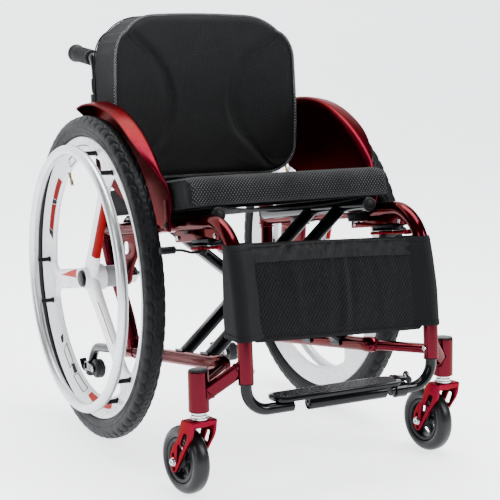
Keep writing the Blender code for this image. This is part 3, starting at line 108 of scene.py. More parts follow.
# A grid of n rings of m points. Its faces join each point to the next ones along both ways, and a fan
# about the middle of the first and last ring closes an end that isn't joined round.
def gridShell(grid, ringUp=False, apexes=None):
    n, m = grid.shape[:2]
    index = np.arange(n * m).reshape(n, m)
    here = index if ringUp else index[:-1]
    there = np.roll(index, -1, 0) if ringUp else index[1:]
    quads = np.stack([here, np.roll(here, -1, 1), np.roll(there, -1, 1), there], -1).reshape(-1, 4)
    points, tris = grid.reshape(-1, 3), np.empty((0, 3), int)
    if not ringUp:
        middles = np.array(apexes if apexes is not None else (grid[0].mean(0), grid[-1].mean(0)))
        points = np.concatenate([points, middles])
        first, last = index[0], index[-1]
        tris = np.concatenate([
            np.stack([np.full(m, n * m), np.roll(first, -1), first], -1),
            np.stack([np.full(m, n * m + 1), last, np.roll(last, -1)], -1),
        ])
    return facingOut(points, quads, tris)


def joined(shells):
    starts = np.cumsum([0] + [len(shell[0]) for shell in shells])
    quads, tris = (np.concatenate([shell[k] + start for shell, start in zip(shells, starts)]) for k in (1, 2))
    return np.concatenate([shell[0] for shell in shells]), quads, tris


# A smooth line through a few points: each span is a cubic whose ends slope as the neighbours do
def smoothLine(points, each=8):
    points = np.asarray(points, float)
    slopes = np.gradient(points, axis=0)
    t = np.linspace(0, 1, each, endpoint=False)[:, None]
    spans = [
        a * (2 * t**3 - 3 * t**2 + 1) + u * (t**3 - 2 * t**2 + t)
        + b * (3 * t**2 - 2 * t**3) + v * (t**3 - t**2)
        for a, b, u, v in zip(points, points[1:], slopes, slopes[1:])
    ]
    return np.concatenate(spans + [points[-1:]])


def bezier(p0, p1, p2, p3, count=16):
    t = np.linspace(0, 1, count)[:, None]
    p0, p1, p2, p3 = (np.asarray(p, float) for p in (p0, p1, p2, p3))
    return p0 * (1 - t) ** 3 + 3 * p1 * t * (1 - t) ** 2 + 3 * p2 * t * t * (1 - t) + p3 * t**3


# Corners of a profile or outline cut off and rounded: each becomes a short curve between its two sides
def softened(points, reach, closed=False, steps=3):
    points = np.asarray(points, float)
    before, after = (np.roll(points, step, 0) - points for step in (1, -1))
    if not closed:
        before[0] = after[-1] = 0
    reach = np.broadcast_to(reach, len(points))[:, None]
    start, end = (
        points + way * np.minimum(reach / np.maximum(np.linalg.norm(way, axis=1)[:, None], 1e-9), 0.46)
        for way in (before, after)
    )
    t = np.linspace(0, 1, steps + 1)[None, :, None]
    rounded = start[:, None] * (1 - t) ** 2 + 2 * points[:, None] * t * (1 - t) + end[:, None] * t**2
    if closed:
        return rounded.reshape(-1, points.shape[1])
    return np.concatenate([points[:1], rounded[1:-1].reshape(-1, points.shape[1]), points[-1:]])


# A power of the size, with the sign kept: below 1 it squares off a circle, above 1 it draws its corners in
def signedPower(values, power):
    return np.sign(values) * np.abs(values) ** power


# A ring carried along a path. It lies square to the path, `radius` out along the side way, which is square
# to the path and to `normal`, and `thick` out along the normal. Its two ends are eased in.
def tube(path, radius, sides=24, normal=(1, 0, 0), thick=None, ease=0.0008, power=1.0):
    path = np.asarray(path, float)
    lengths = np.linalg.norm(path[[1, -2]] - path[[0, -1]], axis=1)
    ease = min(ease, lengths.min() * 0.45)
    inner = path[[0, -1]] + (path[[1, -2]] - path[[0, -1]]) * (ease / lengths)[:, None]
    path = np.concatenate([path[:1], inner[:1], path[1:-1], inner[1:], path[-1:]])
    wide = np.broadcast_to(np.asarray(radius, float), len(path) - 2)
    wide = np.concatenate([[wide[0] - ease], wide, [wide[-1] - ease]])[:, None, None]
    ratio = 1.0 if thick is None else thick / radius
    way = unit(np.gradient(path, axis=0))
    side = unit(np.cross(normal, way))
    turn = 2 * np.pi * (np.arange(sides) + 0.5) / sides
    c, s = (signedPower(part, power)[:, None] for part in (np.cos(turn), np.sin(turn)))
    return gridShell(path[:, None] + wide * (side[:, None] * c + np.cross(way, side)[:, None] * s * ratio))


# A profile of (distance along the axis, radius) turned about a line. A closed profile makes a ring.
def turned(profile, centre, axis=(1, 0, 0), sides=48, closed=False):
    profile = np.asarray(profile, float)
    axis = unit(axis)
    side = unit(np.cross(axis, upWay if abs(axis[2]) < 0.9 else backWay))
    turn = 2 * np.pi * np.arange(sides) / sides
    ring = side * np.cos(turn)[:, None] + np.cross(axis, side) * np.sin(turn)[:, None]
    centre, apexes = np.asarray(centre, float), None
    if not closed:
        apexes = [centre + axis * profile[k, 0] for k in (0, -1)]
        profile = profile[profile[:, 1] > 1e-6]
    return gridShell(centre + axis * profile[:, :1, None] + ring * profile[:, 1:, None], closed, apexes)


# The profile of a drum with eased edges, and of one with a hole through it
def drum(start, end, radius, ease, hole=0):
    outer = [(start, radius - ease), (start + ease, radius), (end - ease, radius), (end, radius - ease)]
    return [(start, hole), *outer, (end, hole)]


# A half profile and its mirror image, joined at the half's last point
def mirrored(half):
    return np.concatenate([half, half[-2::-1] * (-1, 1)])


def rod(start, end, radius, sides=24, ease=0.0006):
    start, end = np.asarray(start, float), np.asarray(end, float)
    return turned(drum(0, np.linalg.norm(end - start), radius, ease)[1:-1], start, end - start, sides)


# A bolt head or nut: a six-sided or round prism with eased edges, and a socket where it has one
def boltHead(centre, axis, radius, height, sides=24, socket=True):
    dip = radius * 0.45
    profile = [(0, radius), (height - 0.0006, radius), (height, radius - 0.0006)]
    profile += [(height, dip), (height * 0.45, dip), (height * 0.45, 0)] if socket else [(height, 0)]
    return turned([(0, 0)] + profile, centre, axis, sides)


def fromBmesh(made):
    bmesh.ops.recalc_face_normals(made, faces=made.faces)
    points = np.array([vert.co for vert in made.verts])
    made.verts.index_update()
    faces = [[vert.index for vert in face.verts] for face in made.faces]
    quads = np.array([f for f in faces if len(f) == 4], int).reshape(-1, 4)
    fans = [(f[0], f[k], f[k + 1]) for f in faces if len(f) != 4 for k in range(1, len(f) - 1)]
    made.free()
    return facingOut(points, quads, np.array(fans, int).reshape(-1, 3))


# A box with rounded edges. `turn` holds its three ways as columns, about `place`.
def block(low, high, edge=0.0012, turn=np.eye(3), place=(0, 0, 0)):
    low, high = np.minimum(low, high), np.maximum(low, high)
    made = bmesh.new()
    bmesh.ops.create_cube(made, size=1)
    for vert in made.verts:
        vert.co = (np.array(vert.co) + 0.5) * (high - low) + low
    bmesh.ops.bevel(made, geom=list(made.edges), offset=edge, segments=2, affect="EDGES", profile=0.5)
    points, quads, tris = fromBmesh(made)
    return facingOut(points @ np.asarray(turn, float).T + place, quads, tris)


# A flat shape with holes, cut from a sheet: (u, v) outlines, `half` of the thickness each way along the
# third way of `turn`, and edges rounded by `edge`
def plate(outline, holes, half, edge, turn, place):
    curve = bpy.data.curves.new("cut", "CURVE")
    curve.dimensions, curve.fill_mode = "2D", "BOTH"
    curve.extrude, curve.bevel_depth, curve.bevel_resolution, curve.offset = half - edge, edge, 1, -edge
    for loop in (outline, *holes):
        loop = np.asarray(loop, float)
        spline = curve.splines.new("POLY")
        spline.points.add(len(loop) - 1)
        spline.points.foreach_set("co", np.c_[loop, np.zeros(len(loop)), np.ones(len(loop))].ravel())
        spline.use_cyclic_u = True
    thing = bpy.data.objects.new("cut", curve)
    mesh = bpy.data.meshes.new_from_object(thing)
    made = bmesh.new()
    made.from_mesh(mesh)
    bmesh.ops.remove_doubles(made, verts=made.verts, dist=1e-6)
    bpy.data.objects.remove(thing)
    bpy.data.curves.remove(curve)
    bpy.data.meshes.remove(mesh)
    points, quads, tris = fromBmesh(made)
    return facingOut(points @ np.asarray(turn, float).T + place, quads, tris)


# Ways for a plate that stands fore and aft (u back, v up, thickness across) and for one that lies flat
standing = np.array((backWay, upWay, acrossWay)).T
lying = np.array((acrossWay, backWay, upWay)).T


def circle(centre, radius, count=20):
    turn = 2 * np.pi * np.arange(count) / count
    return np.c_[centre[0] + radius * np.cos(turn), centre[1] + radius * np.sin(turn)]


# The bead that a weld leaves round a tube's end: a thin ring with ripples
def weld(centre, axis, radius, bead=0.0022, flat=1.0, normal=(1, 0, 0)):
    turn = np.linspace(0, 2 * np.pi, 72, endpoint=False)
    axis = unit(axis)
    side = unit(np.cross(normal, axis))
    out = side * np.cos(turn)[:, None] + np.cross(axis, side) * np.sin(turn)[:, None] * flat
    inner = 2 * np.pi * np.arange(10)[:, None] / 10
    size = bead * (1 + 0.16 * np.sin(24 * turn))[:, None, None]
    ring = unit(out)[:, None] * np.cos(inner) + axis * np.sin(inner)
    return gridShell(np.asarray(centre, float) + radius * out[:, None] + size * ring, True)


def makeMesh(name, shells, material, sharp=34):
    points, quads, tris = joined(shells) if isinstance(shells, list) else shells
    mesh = bpy.data.meshes.new(name)
    mesh.from_pydata((points + (0, axleY, 0)).tolist(), [], quads.tolist() + tris.tolist())
    mesh.validate()
    mesh.shade_smooth()
    mesh.set_sharp_from_angle(angle=math.radians(sharp))
    mesh.materials.append(material)
    return mesh


# A finished piece: its mesh in place, on the body that carries it, instead of the nodes that it stands for
def addPiece(name, shells, material, body, nodes=(), sharp=34):
    thing = bpy.data.objects.new(name, makeMesh(name, shells, material, sharp))
    bpy.context.scene.collection.objects.link(thing)
    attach(thing, body)
    if nodes:
        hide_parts(*([nodes] if isinstance(nodes, str) else nodes))
    return thing


# Materials. Patterns are read from Object coordinates, or from the cloth's own UV map in metres.


class Look:
    def __init__(self, name, colour, roughness, **sockets):
        self.material = bpy.data.materials.new(name)
        self.material.use_nodes = True
        self.tree = self.material.node_tree
        self.shader = self.tree.nodes["Principled BSDF"]
        self.place = self.add("ShaderNodeTexCoord").outputs["Object"]
        self.shader.inputs["Base Color"].default_value = (*colour, 1)
        self.shader.inputs["Roughness"].default_value = roughness
        for socket, value in sockets.items():
            self.shader.inputs[socket.replace("_", " ")].default_value = value
        self.material.diffuse_color = (*colour, 1)

    def add(self, kind, **settings):
        node = self.tree.nodes.new(kind)
        for key, value in settings.items():
            setattr(node, key, value)
        return node

    def link(self, output, socket):
        self.tree.links.new(output, socket)

    def math(self, operation, a, b=0.0):
        node = self.add("ShaderNodeMath", operation=operation)
        for socket, value in zip(node.inputs, (a, b)):
            if isinstance(value, (int, float)):
                socket.default_value = value
            else:
                self.link(value, socket)
        return node.outputs[0]

    def noise(self, scale, detail=3.0, rough=0.5, stretch=(1, 1, 1)):
        node = self.add("ShaderNodeTexNoise")
        for socket, value in (("Scale", scale), ("Detail", detail), ("Roughness", rough)):
            node.inputs[socket].default_value = value
        place = self.place
        if stretch != (1, 1, 1):
            mapping = self.add("ShaderNodeMapping")
            mapping.inputs["Scale"].default_value = stretch
            self.link(place, mapping.inputs["Vector"])
            place = mapping.outputs[0]
        self.link(place, node.inputs["Vector"])
        return node.outputs["Fac"]

    def spread(self, value, low, high, to=(0.0, 1.0)):
        node = self.add("ShaderNodeMapRange")
        self.link(value, node.inputs["Value"])
        for socket, number in zip(("From Min", "From Max", "To Min", "To Max"), (low, high, *to)):
            node.inputs[socket].default_value = number
        return node.outputs["Result"]

    # Mixes another colour in where the mask is high
    def tint(self, mask, other):
        node = self.add("ShaderNodeMix", data_type="RGBA")
        self.link(mask, node.inputs["Factor"])
        base = self.shader.inputs["Base Color"]
        if base.is_linked:
            self.link(base.links[0].from_socket, node.inputs["A"])
        else:
            node.inputs["A"].default_value = base.default_value
        node.inputs["B"].default_value = (*other, 1)
        self.link(node.outputs["Result"], base)

    def rub(self, value, low, high):
        self.link(self.spread(value, 0.3, 0.7, (low, high)), self.shader.inputs["Roughness"])

    # Adds relief of so many metres, on top of any relief already there
    def relief(self, value, depth):
        node = self.add("ShaderNodeBump")
        node.inputs["Distance"].default_value = depth
        self.link(value, node.inputs["Height"])
        normal = self.shader.inputs["Normal"]
        if normal.is_linked:
            self.link(normal.links[0].from_socket, node.inputs["Normal"])
        self.link(node.outputs["Normal"], normal)

    # The cloth's own map: metres across and along the weave
    def cloth(self):
        parts = self.add("ShaderNodeSeparateXYZ")
        self.link(self.add("ShaderNodeUVMap", uv_map="cloth").outputs[0], parts.inputs[0])
        return parts.outputs[0], parts.outputs[1]

    # Rows of round spots, each row set off half a pitch from the next: sine across times sine along
    def spots(self, pitch, rows):
        across, along = self.cloth()
        a = self.math("SINE", self.math("MULTIPLY", across, 2 * math.pi / pitch))
        b = self.math("SINE", self.math("MULTIPLY", along, math.pi / rows))
        return self.math("MULTIPLY", a, b)


def painted(name, colour, roughness, dust=(0.1, 0.1, 0.1), **sockets):
    look = Look(name, colour, roughness, **sockets)
    scuffs = look.spread(look.noise(46, 6, 0.72, (1, 1, 0.3)), 0.62, 0.8, (0.0, 0.5))
    shade = look.spread(look.noise(7.0, 4), 0.3, 0.75, (0.0, 0.34))
    look.tint(shade, [c * 0.62 for c in colour])
    look.tint(scuffs, dust)
    look.rub(look.noise(90, 5), roughness * 0.82, roughness * 1.25)
    look.relief(look.noise(520, 2), 0.00003)
    return look.material


def moulded(name, colour, roughness, grain=1500, depth=0.00005, **sockets):
    look = Look(name, colour, roughness, **sockets)
    look.tint(look.spread(look.noise(30, 5), 0.45, 0.8, (0, 0.5)), [c * 1.6 + 0.001 for c in colour])
    look.rub(look.noise(120, 4), roughness * 0.86, min(1, roughness * 1.18))
    look.relief(look.noise(grain, 2), depth)
    return look.material


def bareMetal(name, colour, roughness, **sockets):
    look = Look(name, colour, roughness, Metallic=1.0, **sockets)
    look.tint(look.spread(look.noise(24, 6), 0.4, 0.8, (0, 0.45)), [c * 0.72 for c in colour])
    look.rub(look.noise(420, 5, 0.6), roughness * 0.7, roughness * 1.35)
    look.relief(look.noise(700, 3, 0.6), 0.00003)
    return look.material


# Spacer mesh: knots in offset rows over a dark ground, each a little raised (sunk when `raised` is negative)
# and tinted with the knot colour. On the seat and back meshes, that pale colour on the raised knots is
# painted highlight. On the pocket net, the dark colour in the sunk openings is painted shade.
def knotted(name, ground, knot, pitch, rows, share=(0.25, 0.8), raised=0.0005, wave=0.0):
    look = Look(name, ground, 0.86, Sheen_Weight=0.03, Sheen_Roughness=0.5, Specular_IOR_Level=0.12)
    knots = look.spots(pitch, rows)
    # A patchy mask for the knot colour, which is painted highlight on the seat and back meshes and painted
    # shade on the pocket net
    patchy = look.spread(look.noise(22, 4), 0.3, 0.7, (0.45, 1.0))
    look.tint(look.math("MULTIPLY", look.spread(knots, *share), patchy), knot)
    look.tint(look.spread(look.noise(9, 3), 0.35, 0.75, (0, 0.35)), [c * 0.6 for c in ground])
    look.relief(knots, raised)
    look.relief(look.noise(900, 2), 0.0001)
    if wave:
        look.relief(look.noise(38, 2), wave)
    return look.material


# Plain woven cloth: warp and weft as two crossed sines, with lint and faint creases
def woven(name, colour, pale, pitch=0.0011, roughness=0.82, crease=0.0006, sheen=0.03):
    look = Look(name, colour, roughness, Sheen_Weight=sheen, Sheen_Roughness=0.45, Specular_IOR_Level=0.14)
    weave = look.spots(pitch, pitch)
    look.tint(look.spread(weave, 0.0, 1.0, (0, 0.55)), pale)
    look.tint(look.spread(look.noise(60, 6, 0.7), 0.62, 0.82, (0, 0.35)), [c * 1.5 + 0.001 for c in pale])
    look.relief(weave, 0.00025)
    look.relief(look.noise(34, 3, 0.5, (1, 1, 0.4)), crease)
    return look.material


# The metal reds have a red tint at grazing angles too, or their edges turn pink
candyRed = painted(
    "candy red lacquer", (0.06, 0.0004, 0.0054), 0.17, (0.055, 0.003, 0.008), Metallic=1.0, Coat_Weight=0.45,
    Specular_Tint=(0.5, 0.01, 0.045, 1), Coat_Roughness=0.035, Coat_IOR=1.25,
)
satinRed = painted(
    "satin red lacquer", (0.078, 0.0012, 0.0085), 0.34, (0.07, 0.007, 0.014), Metallic=1.0, Coat_Weight=0.2,
    Specular_Tint=(0.5, 0.012, 0.055, 1), Coat_Roughness=0.24, Coat_IOR=1.25,
)
forgedRed = painted(
    "anodised red", (0.125, 0.0026, 0.0145), 0.33, (0.11, 0.01, 0.02), Metallic=1.0, Coat_Weight=0.15,
    Specular_Tint=(0.55, 0.02, 0.08, 1), Coat_Roughness=0.2, Coat_IOR=1.25,
)
glossBlack = painted(
    "gloss black", (0.0022, 0.0024, 0.0032), 0.15, (0.007, 0.0075, 0.008), Specular_IOR_Level=0.14,
    Coat_Weight=0.15, Coat_Roughness=0.05, Coat_IOR=1.25,
)
blackPlastic = moulded("black plastic", (0.003, 0.0033, 0.0038), 0.42, Specular_IOR_Level=0.16)
blackRubber = moulded("grip rubber", (0.0062, 0.0066, 0.0072), 0.62, 900, 0.00009, Specular_IOR_Level=0.22)
tyreRubber = moulded("tyre rubber", (0.0036, 0.0039, 0.0044), 0.46, 700, 0.0001, Specular_IOR_Level=0.08)
casterRubber = moulded("caster rubber", (0.0042, 0.0045, 0.005), 0.34, 700, 0.00004, Specular_IOR_Level=0.22)
whiteRim = painted(
    "white rim", (0.8, 0.8, 0.81), 0.28, (0.6, 0.59, 0.57), Coat_Weight=0.45, Coat_Roughness=0.12,
)
paleAlloy = bareMetal("satin alloy", (0.6, 0.61, 0.62), 0.36, Coat_Weight=0.3)
greyHub = moulded("grey hub", (0.2, 0.205, 0.21), 0.38, 900, 0.00003)
steel = bareMetal("bright steel", (0.55, 0.55, 0.56), 0.22)
brass = bareMetal("valve brass", (0.4, 0.31, 0.16), 0.3)
decalRed = moulded("red foil", (0.17, 0.0003, 0.0009), 0.45, 600, 0.00001, Specular_IOR_Level=0.05)
decalOrange = moulded("coral foil", (0.34, 0.014, 0.008), 0.45, 600, 0.00001, Specular_IOR_Level=0.06)
decalBlack = moulded("black foil", (0.0015, 0.0016, 0.0024), 0.45, 600, 0.00001, Specular_IOR_Level=0.1)
# The pale knot colours of the seat and back meshes are painted highlight: the light on each raised knot, over
# the cloth's own dark ground
seatMesh = knotted("seat spacer mesh", (0.004, 0.0043, 0.0048), (0.11, 0.115, 0.118), 0.0058, 0.004)
backMesh = knotted(
    "back spacer mesh", (0.0085, 0.0088, 0.0094), (0.026, 0.0268, 0.0282), 0.0054, 0.0036, (0.3, 0.9), 0.0004
)
# The net's near-black knot colour is painted shade in its sunk openings
netMesh = knotted(
    "pocket net", (0.003, 0.0032, 0.0038), (0.0003, 0.0003, 0.0004), 0.0062, 0.0046, (-0.2, 0.4), -0.0009,
    0.003
)
blackCloth = woven("woven nylon", (0.0022, 0.0024, 0.0029), (0.0042, 0.0045, 0.0052))
sideCloth = woven("side cloth", (0.003, 0.0033, 0.004), (0.006, 0.0064, 0.0074), 0.0016, 0.88, 0.0004)
satinBand = woven("satin band", (0.0048, 0.005, 0.0055), (0.012, 0.0124, 0.013), 0.0008, 0.33, 0.005, 0.02)
pipingGrey = knotted(
    "piping braid", (0.022, 0.022, 0.024), (0.34, 0.35, 0.36), 0.004, 0.003, (0.0, 0.5), 0.0006
)
thread = moulded("sewing thread", (0.0085, 0.0088, 0.0095), 0.7, 2000, 0.0001, Specular_IOR_Level=0.15)

# The shared material slot that each look stands for
slotOf = {
    candyRed: "candy_red", satinRed: "satin_red", forgedRed: "anodised_red", glossBlack: "gloss_black",
    blackPlastic: "black_plastic", blackRubber: "black_rubber", tyreRubber: "tyre", casterRubber: "tyre",
    paleAlloy: "pale_alloy", steel: "steel", brass: "steel",
    **dict.fromkeys((whiteRim, greyHub, decalRed, decalOrange, decalBlack), "white_rim"),
    **dict.fromkeys((seatMesh, backMesh, netMesh), "black_mesh"),
    **dict.fromkeys((blackCloth, sideCloth, satinBand, pipingGrey, thread), "black_cloth"),
}
print("materials ready")


# Side frames: tubes that are welded together

frames = {
    "weldBead": 0.0019, "lugLong": 0.058, "stemY": -0.4445, "housingRound": 0.017, "bendStart": -0.3807,
    "lowY": -0.4925, "bow": 0.72, "rearEnd": 0.1, "lugY": 0.044, "screws": (-0.258, -0.404),
    "bar": ((-0.418, -0.01), (-0.418, -0.031), (-0.244, -0.031), (-0.244, -0.01)),
    "saddles": (0.112, 0.325),
}
casters = {
    "radius": 0.057, "out": 0.06, "trail": 0.042, "crownClear": 0.0195, "bearing": 0.0115, "housing": 0.067,
    "hubHalf": 0.0186, "wall": 0.0055, "halfWide": 0.015, "turn": {"right": 8.1, "left": 4.4}, "spokes": 5,
}
crownZ = 2 * casters["radius"] + casters["crownClear"]
housingLow = crownZ + casters["bearing"] + 0.0009
housingHigh = housingLow + casters["housing"]
frontLow = chair["footZ"] + 0.045
footRear, footFront = -0.0283, 0.3353  # where the lugs' faces stand along the foot tube


# Centre line of the top and front tube: straight, round the knee, then bowed down as a parabola
def frontTube(s):
    x, kneeZ = s * chair["frameX"], chair["footZ"] + 0.236
    rise, bow = kneeZ - frontLow, frames["bow"]
    kneeY, steep = frames["lowY"] + bow * rise**2, 2 * bow * rise
    cornerY = (kneeY + steep * (topZ(0) - kneeZ)) / (1 + steep * chair["slope"])
    corner, start, end = (
        np.array((x, y, topZ(y))) for y in (cornerY, frames["bendStart"], frames["rearEnd"])
    )
    knee = np.array((s * chair["frontX"], kneeY, kneeZ))
    bend = bezier(start, start + (corner - start) * 0.55, knee + (corner - knee) * 0.55, knee, 26)
    z = kneeZ - rise * np.arange(1, 17)[:, None] / 16
    down = np.hstack([np.full_like(z, s * chair["frontX"]), frames["lowY"] + bow * (z - frontLow) ** 2, z])
    return np.concatenate([np.linspace(end, start, 10, endpoint=False), bend, down])


# The part of the front tube between two heights, at even steps of height
def frontTubeBetween(s, low, high, count=24):
    path = frontTube(s)[12:]
    z = np.linspace(high, low, count)
    order = np.argsort(path[:, 2])
    return np.stack([np.interp(z, path[order, 2], path[order, k]) for k in range(2)] + [z], 1)


# Where the back post's middle line meets the top tube's
def postSocket(s):
    return np.array((s * chair["frameX"], chair["postY"], topZ(chair["postY"])))


def sideFrame(tag, s):
    body, x, r = f"{tag}_frame", s * chair["frameX"], chair["tube"]
    socket = postSocket(s)
    lug = np.array((s * chair["footX"], frames["lugY"], footZ(frames["lugY"])))
    rearTube = bezier(socket, socket + (0, -0.008, -0.08), lug + (0, 0.016, 0.097), lug, 30)
    shells = [tube(frontTube(s), r, 32), tube(rearTube, r, 32, backWay)]
    collar = [(0, 0), (0, 0.0146), (0.0008, 0.0152), (0.036, 0.0152), (0.038, 0.0162), (0.043, 0.0162)]
    collar += [(0.044, 0.0153), (0.044, 0.0122), (0.03, 0.0118), (0.03, 0)]
    shells.append(turned(collar, socket - postWay * 0.01, postWay, 40))
    axisEnds = [inPlane(s * chair["footX"], a, 0) for a in (footRear, footRear - frames["lugLong"])]
    lugShape = [(0, 0), (0, 0.013), (0.001, 0.0141), (0.01, 0.0141), (0.011, 0.0134), (0.047, 0.0134)]
    lugShape += [
        (0.048, 0.0141), (0.0565, 0.0141), (0.0575, 0.0132), (0.0575, 0.01), (0.034, 0.0098), (0.034, 0),
    ]
    shells.append(turned(lugShape, axisEnds[0], axisEnds[1] - axisEnds[0], 36))
    frontEnd = inPlane(s * chair["footX"], footFront, 0)
    eye = [(0, 0), (0, 0.013), (0.001, 0.0141), (0.02, 0.0141), (0.0255, 0.012), (0.0275, 0.007), (0.028, 0)]
    shells.append(turned(eye, frontEnd, alongWay, 36))

    # Caster housing, with the link out to it and the gusset that ties it to the front tube
    low = np.array((s * (chair["frameX"] + casters["out"]), frames["stemY"], housingLow))
    high = low + (0, 0, casters["housing"])
    barrel = drum(0, casters["housing"], frames["housingRound"], 0.0012)
    shells.append(turned(softened(barrel, 0.0006), low, upWay, 48))
    linkStart, linkEnd = frontEnd + alongWay * 0.015, low + (high - low) * 0.68 + (-s * 0.004, 0.006, 0)
    gussetStart = low + (high - low) * 0.38 + (-s * 0.005, -0.003, 0)
    gussetEnd = np.array((s * chair["frontX"], -0.4885, frontLow + 0.028))
    shells.append(tube([linkStart, linkEnd], 0.013, 32, upWay, 0.0085, power=0.8))
    shells.append(tube([gussetStart, gussetEnd], 0.0125, 32, backWay, 0.0085, power=0.8))

    # Welds, where one tube meets another
    bead = frames["weldBead"]
    gussetWay = unit(gussetEnd - gussetStart)
    shells += [
        weld(socket - postWay * 0.0095, postWay, 0.0146, bead),
        weld(socket + (0, -0.0012, -0.0155), rearTube[1] - rearTube[0], r + 0.0003, bead),
        weld(lug + (rearTube[-2] - lug) * 2.6, rearTube[-2] - lug, r + 0.0003, bead),
        weld(gussetStart + gussetWay * 0.0135, gussetWay, 0.0123, bead, 0.68, backWay),
        weld(gussetEnd - gussetWay * 0.0125, gussetWay, 0.0123, bead, 0.68, backWay),
        weld(linkEnd + unit(linkStart - linkEnd) * 0.015, linkEnd - linkStart, 0.0128, bead, 0.66, upWay),
        weld(linkStart + unit(linkEnd - linkStart) * 0.013, linkEnd - linkStart, 0.0128, bead, 0.66, upWay),
    ]

    # Brake bar under the top tube
    outline = softened([(y, topZ(y) + dz) for y, dz in frames["bar"]], 0.004, True)
    shells.append(plate(outline, [], 0.005, 0.0009, standing, (x, 0, 0)))
    addPiece(f"side_tubes_{tag}", shells, candyRed, body, f"side_frame_{tag}")

    # The saddles that the seat rail comes down on, with a screw in each
    saddles, screws = [], []
    across = s * (chair["footX"] + chair["frameX"]) / 2
    for along in frames["saddles"]:
        place = inPlane(across, along, railAbove - 0.0123)
        turn = np.array((acrossWay, -alongWay, aboveWay)).T
        saddles.append(block((-0.0205, -0.0138, -0.012), (0.0208, 0.0138, 0), 0.0016, turn, place))
        saddles.append(block((-0.0215, -0.0105, -0.0165), (0.01, 0.0105, -0.0105), 0.0014, turn, place))
        for step in (-0.0085, 0.0085):
            spot = place + alongWay * step - aboveWay * 0.0163 - acrossWay * s * 0.004
            screws.append(boltHead(spot, -aboveWay, 0.0032, 0.0022, 20))
    addPiece(f"rail_saddles_{tag}", saddles, blackPlastic, body)

    # The domed cap over the caster's stem, and the screws in the brake bar
    cap = [
        (0, 0), (0, 0.0157), (0.0012, 0.0164), (0.0024, 0.0158), (0.003, 0.0132), (0.0034, 0.009),
        (0.0036, 0),
    ]
    caps = [turned(softened(cap, 0.0004), high - (0, 0, 0.0002), upWay, 40)]
    addPiece(f"stem_cap_{tag}", caps, blackPlastic, body)
    for y in frames["screws"]:
        centre = np.array((x + s * 0.005, y, topZ(y) - 0.0235))
        screws.append(boltHead(centre, acrossWay * s, 0.0042, 0.003, 24))
        screws.append(boltHead(centre - (s * 0.01, 0, 0), -acrossWay * s, 0.0042, 0.0026, 6, False))
    addPiece(f"frame_screws_{tag}", screws, steel, body, (), 28)


# The plate that hangs the axle, its sleeve with the nut, and the quick-release pin in it
def axleMount(tag, s):
    body, x, z = f"{tag}_frame", s * chair["frameX"], wheel["z"]
    under = chair["tube"] / math.cos(tilt) + 0.0002
    points = [(y, topZ(y) - under) for y in (0.026, -0.062)]
    points += [(y, z + rise) for y, rise in (
        (-0.06, 0.047), (-0.027, 0.012), (-0.0205, -0.01), (-0.008, -0.0205), (0.01, -0.02), (0.0215, -0.008),
        (0.03, 0.027),
    )]
    outline = softened(points, (0.002, 0.002, 0.02, 0.016, 0.008, 0.008, 0.008, 0.012, 0.018), True, 5)
    window = [(y, z + rise) for y, rise in ((0.012, 0.062), (-0.024, 0.066), (-0.024, 0.044), (0.012, 0.036))]
    holes = [softened(window, 0.006, True), circle((0, z), 0.0124, 32)]
    shells = [plate(outline, holes, 0.0045, 0.001, standing, (x, 0, 0))]
    seam = np.linspace(*((0, y, topZ(y) - under) for y in (0.024, -0.06)), 60)
    ripple = 0.0021 * (1 + 0.16 * np.sin(np.arange(60) * 1.35))
    shells += [tube(seam + (x + side * 0.0042, 0, 0.0004), ripple, 12, upWay) for side in (-1, 1)]
    addPiece(f"axle_hanger_{tag}", shells, candyRed, body, f"axle_plate_{tag}")

    start, end = chair["frameX"] - 0.021, wheel["x"] - wheel["barrelEnd"] - 0.0007
    long = end - start
    sleeve = [
        (0, 0.0064), (0, 0.0112), (0.0008, 0.0119), (long - 0.0004, 0.0119), (long, 0.0112), (long, 0.0064),
    ]
    shells = [turned(sleeve, (s * start, 0, z), (s, 0, 0), 40, True)]
    washer = [
        (0.0049, 0.0121), (0.0049, 0.0158), (0.0062, 0.0164), (0.0128, 0.0155), (long - 0.026, 0.015),
        (long - 0.0255, 0.0121),
    ]
    shells.append(turned(washer, (x, 0, z), (s, 0, 0), 48, True))
    nut = [(0, 0.0121), (0, 0.0158), (0.0009, 0.0168), (0.0122, 0.0168), (0.0131, 0.0158), (0.0131, 0.0121)]
    shells.append(turned(nut, (s * (chair["frameX"] - 0.018), 0, z), (s, 0, 0), 6, True))
    addPiece(f"axle_bush_{tag}", shells, steel, body, f"axle_sleeve_{tag}")
    tip = chair["frameX"] - 0.029
    long = wheel["x"] + wheel["pinOut"] - tip
    pin = [
        (0, 0), (0, 0.003), (0.0012, 0.0052), (0.0024, 0.0059), (long, 0.0059), (long, 0.0122),
        (long + 0.0008, 0.0125),
    ]
    pin += [
        (long + 0.0034, 0.0125), (long + 0.004, 0.0118), (long + 0.004, 0.0032), (long - 0.01, 0.0032),
        (long - 0.01, 0),
    ]
    shells = [turned(pin, (s * tip, 0, z), (s, 0, 0), 32)]
    ball = [(-0.0016, 0), (-0.0014, 0.0009), (0, 0.0016), (0.0014, 0.0009), (0.0016, 0)]
    shells += [turned(ball, (s * (tip + 0.0052), side * 0.0054, z), backWay, 14) for side in (-1, 1)]
    addPiece(f"release_pin_{tag}", shells, steel, body, f"axle_pin_{tag}")


# Rear wheels

